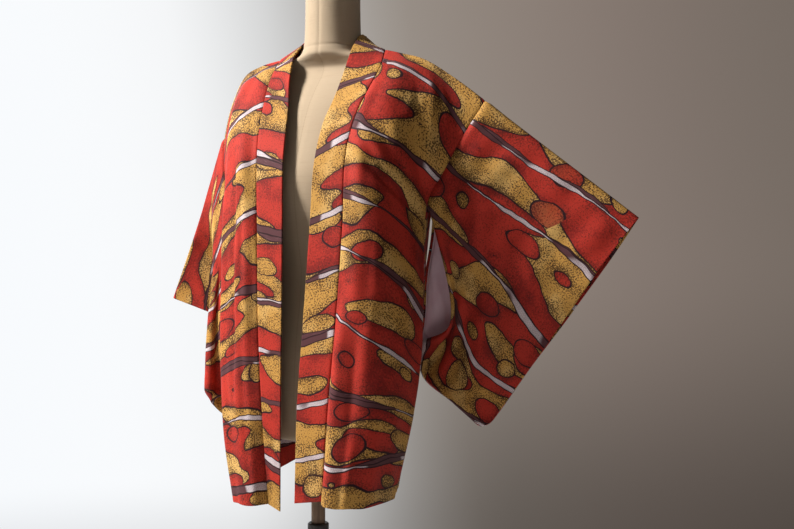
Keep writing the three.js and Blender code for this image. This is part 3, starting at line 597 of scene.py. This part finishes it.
def bandPiece(shift):
    seams, crests, falls, rolls = [], [], [], []

    def flatStretch(side, edge, rows):
        seam = side["front"]([0.0], rows)[:, 0]
        free = curveAt(bandDown, edge, rows)
        seams.append(seam)
        crests.append((seam + free) / 2)
        falls.append(free)
        rolls.append(np.zeros(len(rows)))

    def neckStretch(side, us):
        seam = side["back"](us, [0.0])[0]
        share = 1 - us / neckShare
        hand = np.array([side["hand"], 1, 1])
        seams.append(seam)
        crests.append(seam + curveAt(napeShare, bandCrest, share) * hand)
        falls.append(seam + curveAt(napeShare, bandFall, share) * hand)
        rolls.append(ramp(share, 0, 0.5))

    flatStretch(leftSide, bandEdgeLeft, panelFine[::-1])
    neckStretch(leftSide, neckColumns[:-1][::-1])
    neckStretch(rightSide, neckColumns[1:-1])
    flatStretch(rightSide, bandEdgeRight, panelFine)
    seam, crest, fall = (np.concatenate(lines)[:, None] for lines in (seams, crests, falls))
    roll = np.concatenate(rolls)[:, None, None]
    k = bandColumns[None, :, None]
    lift = seam * ((1 - k) * (1 - 2 * k)) + crest * (4 * k * (1 - k)) + fall * (k * (2 * k - 1))
    points = (seam * (1 - k) + fall * k) * (1 - roll) + lift * roll
    # length along the band, measured near its middle
    steps = np.linalg.norm(np.diff(points[:, 8], axis=0), axis=1)
    along = np.concatenate([[0], np.cumsum(steps)])[:, None]
    flat = flatPlaces(bandColumns[None, :] * jacket["bandWidth"], along, shift)
    low, high = edgeSide(bandColumns[None, :], jacket["bandWidth"])
    free = np.minimum(high + 0 * along, np.minimum(along, along[-1] - along) + 0 * high)
    inner = np.zeros((len(points), len(bandColumns)), int)
    return joinGrids([gridOf(points, flat, low + 0 * along, free, inner, False)])


def sleevePiece(sleeve, hand, shift):
    rows = sleeveFine
    s, v = sleeveColumns[None, :], rows[:, None]
    low, high = edgeSide(s, jacket["sleeveWidth"])
    drawn = cornerPlace(sleeveColumns, rows)
    grids = []
    for name, flip, sign in (("front", hand < 0, -1), ("back", hand > 0, 1)):
        flat = flatPlaces(drawn[0] * jacket["sleeveWidth"], sign * drawn[1], shift)
        seam = np.where(v <= jacket["armhole"], low, np.hypot(low, v - jacket["armhole"]))
        openEdge = np.where(v > jacket["armhole"], low, 1e3 + 0 * low)
        facing = (low < jacket["facing"]) & (v > jacket["armhole"])
        inner = np.where(facing | (high < jacket["cuffFacing"]), 0, 1)
        points = sleeve[name](sleeveColumns, rows)
        grids.append(gridOf(points, flat, seam, np.minimum(high + 0 * v, openEdge), inner, flip))
    return joinGrids(grids)


satin = {"top": 218, "bottom": 440, "reach": 0.68, "gap": 0.7, "ripple": 0.5}


def liningPiece(shell, sleeve, hand, shift):
    # satin sheet on the inside of the back layer, from the facing of the open edge inward
    width = jacket["sleeveWidth"]
    rows = np.array([v for v in sleeveFine if satin["top"] <= v <= satin["bottom"]])
    columns = np.array([s for s in sleeveColumns if s * width > jacket["facing"] and s < satin["reach"]])
    s, v = columns[None, :], rows[:, None]
    points = sleeve["back"](columns, rows)
    found = {tuple(key): normal for key, normal in zip(shell["keys"].tolist(), shell["normals"])}
    keys = np.round(points.reshape(-1, 3) * 100).astype(np.int64).tolist()
    normals = np.array([found[tuple(key)] for key in keys]).reshape(points.shape)
    ripple = satin["ripple"] * np.sin(v / 17 + 3 * s) * np.sin(s * 31)
    away = jacket["wall"] / 2 + jacket["liningWall"] / 2 + satin["gap"] + np.abs(ripple)
    points = points - normals * away[..., None]
    flat = flatPlaces(s * width, v, shift)
    edge = np.minimum(np.minimum(s - columns[0], columns[-1] - s) * width,
                      np.minimum(v - rows[0], rows[-1] - v))
    return joinGrids([gridOf(points, flat, edge + 1e3, edge, np.zeros(edge.shape, int), hand > 0)])


# shader maths
def operators(operation):
    # an operator and its reflected form, as in mask - 1 and 1 - mask
    return (lambda one, other: one.step(operation, one, other),
            lambda one, other: one.step(operation, other, one))


class Shade:
    # a node's output, so that sums of values read as plain sums
    __add__, __radd__ = operators("ADD")
    __sub__, __rsub__ = operators("SUBTRACT")
    __mul__, __rmul__ = operators("MULTIPLY")
    __truediv__, __rtruediv__ = operators("DIVIDE")
    __pow__, __rpow__ = operators("POWER")

    def __init__(self, finish, socket):
        self.finish = finish
        self.socket = socket

    def of(self, name):
        return Shade(self.finish, self.socket.node.outputs[name])

    def step(self, operation, *terms):
        return self.finish.add("Math", {"operation": operation}, dict(enumerate(terms)))

    def __abs__(self):
        return self.step("ABSOLUTE", self)


class Finish:
    # one material, or the world, and the nodes in it
    def __init__(self, name, world=False):
        self.material = (bpy.data.worlds if world else bpy.data.materials).new(name)
        self.material.use_nodes = True
        self.tree = self.material.node_tree
        kind = "BACKGROUND" if world else "BSDF_PRINCIPLED"
        self.surface = next(node for node in self.tree.nodes if node.type == kind)

    def socket(self, sockets, key):
        if isinstance(key, int):
            return sockets[key]
        return next(s for s in sockets if key in (s.identifier, s.name))

    def add(self, kind, settings=None, sockets=None, out=0):
        node = self.tree.nodes.new("ShaderNode" + kind)
        for key, value in (settings or {}).items():
            if key == "spline":
                node.color_ramp.interpolation = "B_SPLINE"
            elif key == "stops":
                while len(node.color_ramp.elements) < len(value):
                    node.color_ramp.elements.new(0.5)
                for element, (place, colour) in zip(node.color_ramp.elements, value):
                    element.position = place
                    element.color = (*colour, 1)
            else:
                setattr(node, key, value)
        for key, value in (sockets or {}).items():
            self.plug(self.socket(node.inputs, key), value)
        return Shade(self, self.socket(node.outputs, out))

    def plug(self, target, value):
        if isinstance(value, Shade):
            self.tree.links.new(value.socket, target)
        else:
            target.default_value = value

    def objectPlace(self):
        return self.add("TexCoord").of("Object")

    def blend(self, share, low, high):
        low, high = [(*c, 1) if isinstance(c, tuple) and len(c) == 3 else c for c in (low, high)]
        return self.add("Mix", {"data_type": "RGBA"},
                        {"Factor_Float": share, "A_Color": low, "B_Color": high}, "Result_Color")

    def step(self, value, low, high):
        # 0 below low, 1 above high, smooth between; falls when low is above high
        falls = float(low > high)
        return self.add("MapRange", {"interpolation_type": "SMOOTHSTEP"},
                        {"Value": value, "From Min": min(low, high), "From Max": max(low, high),
                         "To Min": falls, "To Max": 1 - falls})

    def cloud(self, place, scale, detail=0.0, roughness=0.5, wide="2D"):
        return self.add("TexNoise", {"noise_dimensions": wide},
                        {"Vector": place, "Scale": scale, "Detail": detail, "Roughness": roughness})

    def drift(self, x, y, detail=0.0):
        # cloud on the flat cloth, longer one way than the other
        return self.cloud(self.add("CombineXYZ", None, {"X": x, "Y": y}), 1.0, detail)

    def grain(self, place, scales, detail=1.0, roughness=0.5, wide="3D"):
        # cloud drawn out along threads or wood
        place = self.add("VectorMath", {"operation": "MULTIPLY"}, {0: place, 1: scales})
        return self.cloud(place, 1.0, detail, roughness, wide)

    def cells(self, place, scale, feature, randomness=1.0):
        return self.add("TexVoronoi", {"voronoi_dimensions": "2D", "feature": feature},
                        {"Vector": place, "Scale": scale, "Randomness": randomness})

    def bump(self, strength, distance, height):
        return self.add("Bump", None, {"Strength": strength, "Distance": distance, "Height": height})

    def set(self, **values):
        for key, value in values.items():
            name = {"baseColor": "Base Color", "roughness": "Roughness", "normal": "Normal",
                    "specular": "Specular IOR Level", "coatWeight": "Coat Weight",
                    "sheenWeight": "Sheen Weight", "sheenRoughness": "Sheen Roughness"}[key]
            self.plug(self.surface.inputs[name], value)
        return self.material


# finishes
printLook = {
    "red": (0.43, 0.028, 0.016), "redDeep": (0.15, 0.007, 0.006),
    "mustard": (0.50, 0.262, 0.060), "mustardPale": (0.63, 0.40, 0.14),
    "speck": (0.035, 0.012, 0.006), "line": (0.024, 0.007, 0.009),
    "stream": (0.60, 0.51, 0.53), "vein": (0.16, 0.08, 0.09), "shadow": (0.085, 0.030, 0.034),
    "wobble": 0.0036, "streamPitch": 0.108, "lobeAcross": 6.4, "lobeDown": 19.0,
    "redShare": 0.535, "lineWidth": 0.0008, "soft": 0.0002,
}


def fieldEdge(finish, x, y, across, down, offset, level, warp):
    # signed distance in metres from the edge of soft wandering fields
    def at(dx, dy):
        return finish.drift((x + dx) * across + offset, (y + dy) * down + warp)

    reach = 0.0012
    here = at(0.0, 0.0)
    slopeX = (at(reach, 0.0) - here) / reach
    slopeY = (at(0.0, reach) - here) / reach
    steep = (slopeX * slopeX + slopeY * slopeY) ** 0.5 + 0.35
    return (here - level) / steep


def printFinish(name):
    look = printLook
    f = Finish(name)
    flat = f.add("UVMap", {"uv_map": "clothFlat"})
    cut = f.add("SeparateXYZ", None, {0: flat})
    # a hand-drawn wobble in every line
    x = cut + (f.cloud(flat, 52.0) - 0.5) * look["wobble"]
    y = cut.of("Y") + (f.cloud(flat, 43.0) - 0.5) * look["wobble"]
    slow = f.cloud(flat, 7.0)
    soft, lineWide = look["soft"], look["lineWidth"]

    # red and mustard fields
    edge = fieldEdge(f, x, y, look["lobeAcross"], look["lobeDown"], 3.7, look["redShare"], slow * 0.9)
    mustard = f.step(edge, -soft, soft)
    far = abs(edge)
    # plain oval pebbles lie over the fields
    cells = f.cells(f.add("CombineXYZ", None, {"X": x * 9.0, "Y": y * 14.5 + slow * 0.8}), 1.0, "F1", 0.62)
    cellTint = f.add("SeparateColor", None, {0: cells.of("Color")})
    size = f.step(cellTint, 0.52, 0.9) * 0.16 + f.step(cellTint, 0.5, 0.52) * 0.14
    pebbleEdge = (size - cells) * 0.082
    pebble = f.step(pebbleEdge, -soft, soft)
    pebbleMustard = f.step(cellTint.of("Green"), 0.49, 0.51)
    isMustard = mustard * (1 - pebble) + pebbleMustard * pebble
    rim = far.step("MINIMUM", far * (1 - pebble) + abs(pebbleEdge) * pebble, abs(pebbleEdge))

    # long pale streams with a dark side, from edge to edge of the cloth
    height = y + (f.drift(x * 2.6, y * 3.4 + 9.1) - 0.5) * 0.105 + x * 0.04
    turns = height / look["streamPitch"]
    signed = (turns.step("FRACT", turns) - 0.5) * look["streamPitch"]
    wide = f.step(f.drift(x * 9.0, y * 8.0 + 2.0), 0.34, 0.60) * 0.0036 + 0.0014
    streamEdge = wide - abs(signed)
    stream = f.step(streamEdge, -soft, soft)
    shadeWide = f.step(f.drift(x * 6.0 + 5.0, y * 7.0), 0.42, 0.68) * 0.0085
    sideEdge = shadeWide + wide - signed
    lowSide = f.step(signed, 0.0, 0.0004) * f.step(shadeWide, 0.0006, 0.0016)
    shadow = lowSide * f.step(sideEdge, -soft, soft) * (1 - stream)
    streamRim = abs(streamEdge)
    shadowRim = abs(sideEdge) + (1 - lowSide) * 0.01

    # specks, mottling and veins
    grain = f.cloud(flat, 380.0, 2.0, 0.6)
    patch = f.cloud(flat, 24.0, 2.0)
    closeness = f.step(rim, 0.016, 0.0)
    speckLevel = 0.55 - closeness * 0.10 - (patch - 0.5) * 0.42
    speck = f.step(grain - speckLevel, 0.0, 0.035)
    mottle = f.cloud(flat, 260.0, 3.0, 0.6)
    depth = f.cloud(flat, 16.0, 2.0)
    redTone = f.step((mottle - 0.5) * 0.9 + (depth - 0.5) * 1.1 + closeness * 0.14, -0.12, 0.34)
    redSpeck = f.step(grain - (0.60 - closeness * 0.08 - (patch - 0.5) * 0.30), 0.0, 0.04)
    red = f.blend(redSpeck * 0.6, f.blend(redTone * 0.75, look["red"], look["redDeep"]), look["speck"])
    gold = f.blend(f.step(depth, 0.45, 0.72) * 0.6, look["mustard"], look["mustardPale"])
    gold = f.blend(speck * 0.86, gold, look["speck"])
    veins = f.step(f.cells(flat, 300.0, "DISTANCE_TO_EDGE"), 0.10, 0.02)
    ebb = f.step(f.drift(x * 11.0 + 3.0, y * 6.0), 0.50, 0.56)   # pale turns to dark along its length
    pale = f.blend(veins * 0.6 + f.step(patch, 0.35, 0.7) * 0.25, look["stream"], look["vein"])
    pale = f.blend(ebb, pale, look["shadow"])
    streaks = f.drift(x * 60.0, height * 900.0, 1.0)
    dark = f.blend(f.step(streaks, 0.58, 0.72) * 0.5, look["shadow"], look["vein"])

    colour = f.blend(isMustard, red, gold)
    breath = f.cloud(flat, 40.0) * 0.0010 - 0.0003
    colour = f.blend(f.step(rim - breath, lineWide + 0.0005, lineWide), colour, look["line"])
    colour = f.blend(shadow, colour, dark)
    colour = f.blend(f.step(shadowRim, lineWide + 0.0003, lineWide - 0.0002), colour, look["line"])
    colour = f.blend(f.step(streamRim - breath, lineWide + 0.0005, lineWide), colour, look["line"])
    colour = f.blend(stream * f.step(streamRim, 0.0004, 0.0010), colour, pale)

    # crepe weave: fine crossed threads with an uneven surface
    crepe = f.cloud(flat, 900.0, 2.0)
    relief = crepe * 0.6
    for way, pitch in (("X", 420.0), ("Y", 360.0)):
        threads = f.add("TexWave", {"wave_type": "BANDS", "bands_direction": way},
                        {"Vector": flat, "Scale": pitch, "Distortion": 1.6, "Detail": 1.0})
        relief = relief + threads.of("Fac") * 0.35
    normal = f.bump(0.35, 0.0002, relief)
    rough = 0.66 + crepe * 0.16 + speck * isMustard * 0.05
    return f.set(baseColor=colour, roughness=rough, normal=normal, sheenWeight=0.05, sheenRoughness=0.4,
                 specular=0.18)


def liningFinish(name):
    look = {"pink": (0.94, 0.70, 0.79), "pinkDeep": (0.84, 0.54, 0.64)}
    f = Finish(name)
    flat = f.add("UVMap", {"uv_map": "clothFlat"})
    tone = f.cloud(flat, 22.0, 2.0)
    figure = f.step(f.cloud(flat, 46.0, 1.0), 0.50, 0.54)   # woven figure, a shade apart
    slub = f.grain(flat, (60.0, 900.0, 1.0), 2.0, wide="2D")
    colour = f.blend(f.step(tone, 0.35, 0.75) * 0.55 + slub * 0.2, look["pink"], look["pinkDeep"])
    normal = f.bump(0.3, 0.0003, slub * 0.5 + tone * 2.0 + figure * 0.2)
    rough = 0.34 + figure * 0.12 + slub * 0.08
    return f.set(baseColor=colour, roughness=rough, normal=normal, sheenWeight=0.3, sheenRoughness=0.3)


def linenFinish(name):
    look = {"flax": (0.36, 0.265, 0.170), "flaxPale": (0.43, 0.335, 0.235), "thread": (0.22, 0.155, 0.09)}
    f = Finish(name)
    place = f.objectPlace()
    cut = f.add("SeparateXYZ", None, {0: place})
    warpThreads = f.grain(place, (1500.0, 1500.0, 90.0))
    weftThreads = f.grain(place, (70.0, 70.0, 1500.0))
    slubs = 0.55 * f.step(f.grain(place, (30.0, 30.0, 700.0)), 0.60, 0.74)
    tone = f.cloud(place, 7.0, 3.0, wide="3D")
    colour = f.blend(tone * 0.5 + warpThreads * 0.3 + weftThreads * 0.3, look["flax"], look["flaxPale"])
    colour = f.blend(slubs * 0.22, colour, look["thread"])
    # the front and back seams, one stitch line each
    seam = f.step(abs(cut), 0.0011, 0.0004)
    dash = f.step(cut.of("Z").step("PINGPONG", cut.of("Z"), 0.0028), 0.0006, 0.0012)
    colour = f.blend(seam * (0.12 + dash * 0.20), colour, look["thread"])
    relief = warpThreads * 0.6 + weftThreads * 0.6 + slubs * 0.5 - seam * 0.7
    normal = f.bump(0.45, 0.0004, relief)
    return f.set(baseColor=colour, roughness=0.84 + warpThreads * 0.1, normal=normal, sheenWeight=0.12,
                 specular=0.25)


def woodFinish(name):
    look = {"light": (0.28, 0.17, 0.10), "dark": (0.12, 0.068, 0.040), "pore": (0.045, 0.025, 0.016)}
    f = Finish(name)
    place = f.objectPlace()
    grain = f.grain(place, (160.0, 160.0, 9.0), 4.0, 0.62)
    pores = f.step(f.grain(place, (900.0, 900.0, 40.0)), 0.62, 0.72)
    worn = f.cloud(place, 30.0, 2.0, wide="3D")
    colour = f.blend(f.step(grain, 0.34, 0.66), look["light"], look["dark"])
    colour = f.blend(pores * 0.6, colour, look["pore"])
    normal = f.bump(0.3, 0.0003, grain - pores * 0.6)
    return f.set(baseColor=colour, roughness=0.42 + worn * 0.22, normal=normal, coatWeight=0.15)


def blackFinish(name):
    look = {"paint": (0.018, 0.017, 0.017), "rub": (0.075, 0.072, 0.070)}
    f = Finish(name)
    place = f.objectPlace()
    peel = f.cloud(place, 1100.0, 1.0, wide="3D")
    rub = f.step(f.cloud(place, 22.0, 4.0, 0.66, wide="3D"), 0.56, 0.74)
    colour = f.blend(rub * 0.5, look["paint"], look["rub"])
    rough = 0.40 + peel * 0.18 + rub * 0.12
    return f.set(baseColor=colour, roughness=rough, normal=f.bump(0.25, 0.0002, peel))


printCloth = printFinish("printCloth")
liningCloth = liningFinish("liningSatin")
linenCloth = linenFinish("linenCover")
poleWood = woodFinish("poleWood")
blackPaint = blackFinish("blackPaint")
print("finishes ready")

# the jacket, one piece for each part that is cut and sewn
clothPieces = {
    "bodyLeftCloth": bodyPiece(leftSide, (0.0, 0.0)),
    "bodyRightCloth": bodyPiece(rightSide, (1.3, 0.45)),
    "collarBand": bandPiece((2.7, 0.31)),
    "gussetLeftCloth": gussetPiece(leftSide, (4.1, 0.2)),
    "gussetRightCloth": gussetPiece(rightSide, (4.6, 0.9)),
    "sleeveLeftCloth": sleevePiece(leftSleeve, 1, (5.3, 0.63)),
    "sleeveRightCloth": sleevePiece(rightSleeve, -1, (6.4, 0.17)),
}
shareNormals(list(clothPieces.values()))
sheetFacts = {
    "bodyLeftCloth": ("body_left", (0.31, 1.64), 0.40), "bodyRightCloth": ("body_right", (0.31, 1.64), 0.40),
    "collarBand": ("collar", (0.065, 1.99), None), "gussetLeftCloth": ("gusset_left", (0.062, 0.60), 0.030),
    "gussetRightCloth": ("gusset_right", (0.062, 0.60), 0.030),
    "sleeveLeftCloth": ("sleeve_left", (0.34, 0.95), None),
    "sleeveRightCloth": ("sleeve_right", (0.34, 0.95), None),
}
for name, (node, flatSize, area) in sheetFacts.items():
    wall = jacket["bandWall"] if name == "collarBand" else jacket["wall"]
    thing = clothObject(name, clothPieces[name], wall, [printCloth, liningCloth])
    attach(thing, "root")
    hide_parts(node)
    print("sewn", name, len(thing.data.polygons), "faces")

liningFacts = {
    "sleeveLeftSatin": ("sleeve_left_lining", "sleeveLeftCloth", leftSleeve, 1, (0.19, 0.21)),
    "sleeveRightSatin": ("sleeve_right_lining", "sleeveRightCloth", rightSleeve, -1, (0.19, 0.21)),
}
for name, (node, shellName, sleeve, hand, flatSize) in liningFacts.items():
    piece = liningPiece(clothPieces[shellName], sleeve, hand, (7.0 + hand * 0.5, 0.1))
    shareNormals([piece])
    thing = clothObject(name, piece, jacket["liningWall"], [liningCloth])
    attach(thing, "root")
    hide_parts(node)
    print("lined", name, len(thing.data.polygons), "faces")


# the stand: rings stacked upward
def ringObject(name, rings, material):
    count = len(rings[0])
    points = np.concatenate(rings)
    centres = [np.mean(rings[0], axis=0), np.mean(rings[-1], axis=0)]
    faces = []
    for i in range(len(rings) - 1):
        for j in range(count):
            k = (j + 1) % count
            faces.append([i * count + j, i * count + k, (i + 1) * count + k, (i + 1) * count + j])
    low, top = len(points), (len(rings) - 1) * count
    for j in range(count):
        k = (j + 1) % count
        faces.append([k, j, low])
        faces.append([top + j, top + k, low + 1])
    mesh = bpy.data.meshes.new(name)
    mesh.from_pydata((np.concatenate([points, centres]) * 0.001).tolist(), [], faces)
    mesh.polygons.foreach_set("use_smooth", [True] * len(faces))
    mesh.update()
    mesh.set_sharp_from_angle(angle=math.radians(38))
    mesh.materials.append(material)
    thing = bpy.data.objects.new(name, mesh)
    scene.collection.objects.link(thing)
    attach(thing, "root")
    return thing


def roundRing(count, z, halfX, halfY, middleX, middleY):
    angle = 2 * math.pi * np.arange(count) / count
    return np.stack([middleX + halfX * np.cos(angle), middleY + halfY * np.sin(angle),
                     np.full(count, float(z))], -1)


formLook = {"around": 128, "seamWidth": 3.0, "seamDepth": 0.9, "top": 1522}


def dressForm():
    heights = np.unique(np.concatenate([[712, 713, 715, 718], np.linspace(722, 1340, 118),
                                        np.linspace(1343, 1420, 56),
                                        np.linspace(1424, formLook["top"], 24)]))
    half, middle, deep = formAt(heights)
    rings = []
    angle = 2 * math.pi * np.arange(formLook["around"]) / formLook["around"]
    for z, h, m, d in zip(heights, half, middle, deep):
        # seams at the centre front and back, and one round the neck
        neckSeam = math.exp(-((z - 1416) / 2.4) ** 2)
        longSeams = np.exp(-((h * np.cos(angle)) / formLook["seamWidth"]) ** 2)
        groove = formLook["seamDepth"] * (longSeams + neckSeam)
        rings.append(np.stack([(h - groove) * np.cos(angle), m + (d - groove) * np.sin(angle),
                               np.full(len(angle), z)], -1))
    return ringObject("linenForm", rings, linenCloth)


form = dressForm()
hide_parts("dress_form")

turned = {
    "neckCap": ("neck_cap", poleWood, "wood", (0, 52), 96,
        [(50.4, 1522), (51, 1522.6), (51, 1528.2), (50.6, 1529.2), (49.4, 1530)]),
    "standPole": ("pole", poleWood, "wood", (0, 0), 64, [(12.5, 530), (12.5, 590), (12.5, 650), (12.5, 712)]),
    "standTube": ("stand_tube", blackPaint, "black", (0, 0), 64,
        [(15, 14), (15, 150), (15, 290), (15, 430), (15, 529.4), (14.6, 530)]),
    "floorBase": ("base", blackPaint, "black", (0, 0), 160, [
        (189, 0), (189.8, 0.4), (190, 1), (190, 7), (189.4, 8.6), (187, 10), (160, 10.9), (110, 12.4),
        (60, 14), (20, 14),
    ]),
}
for name, (node, material, slotName, (x, y), count, profile) in turned.items():
    thing = ringObject(name, [roundRing(count, z, r, r, x, y) for r, z in profile], material)
    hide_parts(node)
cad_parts["pole_collar"].data.materials.clear()
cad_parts["pole_collar"].data.materials.append(blackPaint)
print("stand ready")

# plain pale floor and soft studio light
turn = math.radians(cameraView["turn"])
right = Vector((math.cos(turn), math.sin(turn), 0))
ahead = Vector((-math.sin(turn), math.cos(turn), 0))
aim = Vector((0.05, 0.0, 1.0))


def areaLight(name, sideways, forward, high, size, power, colour):
    data = bpy.data.lights.new(name, "AREA")
    data.shape = "RECTANGLE"
    data.size, data.size_y = size
    data.energy = power
    data.color = colour
    lamp = bpy.data.objects.new(name, data)
    lamp.location = aim + right * sideways + ahead * forward + Vector((0, 0, high))
    lamp.rotation_euler = (aim - lamp.location).to_track_quat("-Z", "Y").to_euler()
    scene.collection.objects.link(lamp)


areaLight("windowLight", -2.4, -0.42, 1.85, (0.5, 0.7), 215, (1.0, 0.985, 0.955))
areaLight("roomFill", 0.4, -3.0, 0.8, (2.6, 2.4), 4, (1.0, 0.95, 0.90))
areaLight("backFill", -0.8, 2.7, 1.0, (2.4, 2.0), 16, (0.97, 0.985, 1.0))

floorFinish = Finish("paleFloor")
floorTone = floorFinish.cloud(floorFinish.objectPlace(), 3.0, 4.0, wide="3D")
floorFinish.set(baseColor=floorFinish.blend(floorTone, (0.60, 0.60, 0.60), (0.70, 0.69, 0.68)), roughness=0.8)
floorMesh = bpy.data.meshes.new("floor")
ringPoints = [(2.0 * math.cos(a), 2.0 * math.sin(a), 0.0) for a in np.linspace(0, 2 * math.pi, 97)[:-1]]
floorMesh.from_pydata(ringPoints, [], [list(range(96))])
floorMesh.materials.append(floorFinish.material)
floor = bpy.data.objects.new("floor", floorMesh)
scene.collection.objects.link(floor)

# plain backdrop: bright on the window's side, dim on the other
backdropLook = {"room": (0.11, 0.105, 0.10), "dimming": 0.60, "foot": 0.18}
studio = Finish("studio", world=True)
scene.world = studio.material
looking = studio.add("TexCoord").of("Generated")
sideways = studio.add("VectorMath", {"operation": "DOT_PRODUCT"}, {0: looking, 1: tuple(right)}, "Value")
forward = studio.add("VectorMath", {"operation": "DOT_PRODUCT"}, {0: looking, 1: tuple(ahead)}, "Value")
upward = studio.add("SeparateXYZ", None, {0: looking}).of("Z")
wall = studio.add("ValToRGB", {"spline": True, "stops": [
    (0.0, (0.93, 0.955, 0.985)), (0.26, (0.97, 0.98, 0.99)), (0.38, (0.66, 0.665, 0.665)),
    (0.47, (0.41, 0.385, 0.36)), (0.56, (0.30, 0.258, 0.222)), (0.78, (0.24, 0.19, 0.165)),
    (1.0, (0.17, 0.142, 0.12)),
]}, {0: (sideways + upward * 0.14) * 1.35 + 0.5})
dimSide = studio.step(sideways, -0.12, 0.12)
# painted shade: the backdrop darkens towards the floor, most on the dim side
low = dimSide * backdropLook["dimming"] * studio.step(upward, 0.02, -0.27)
low = low + (1 - dimSide) * backdropLook["foot"] * studio.step(upward, -0.19, -0.26)
wallShade = studio.blend(low, wall, (0.0, 0.0, 0.0))
seen = studio.step(forward, 0.5, 0.8)
studio.plug(studio.surface.inputs["Color"], studio.blend(seen, backdropLook["room"], wallShade))
scene.view_settings.view_transform = "Standard"
print("light ready")
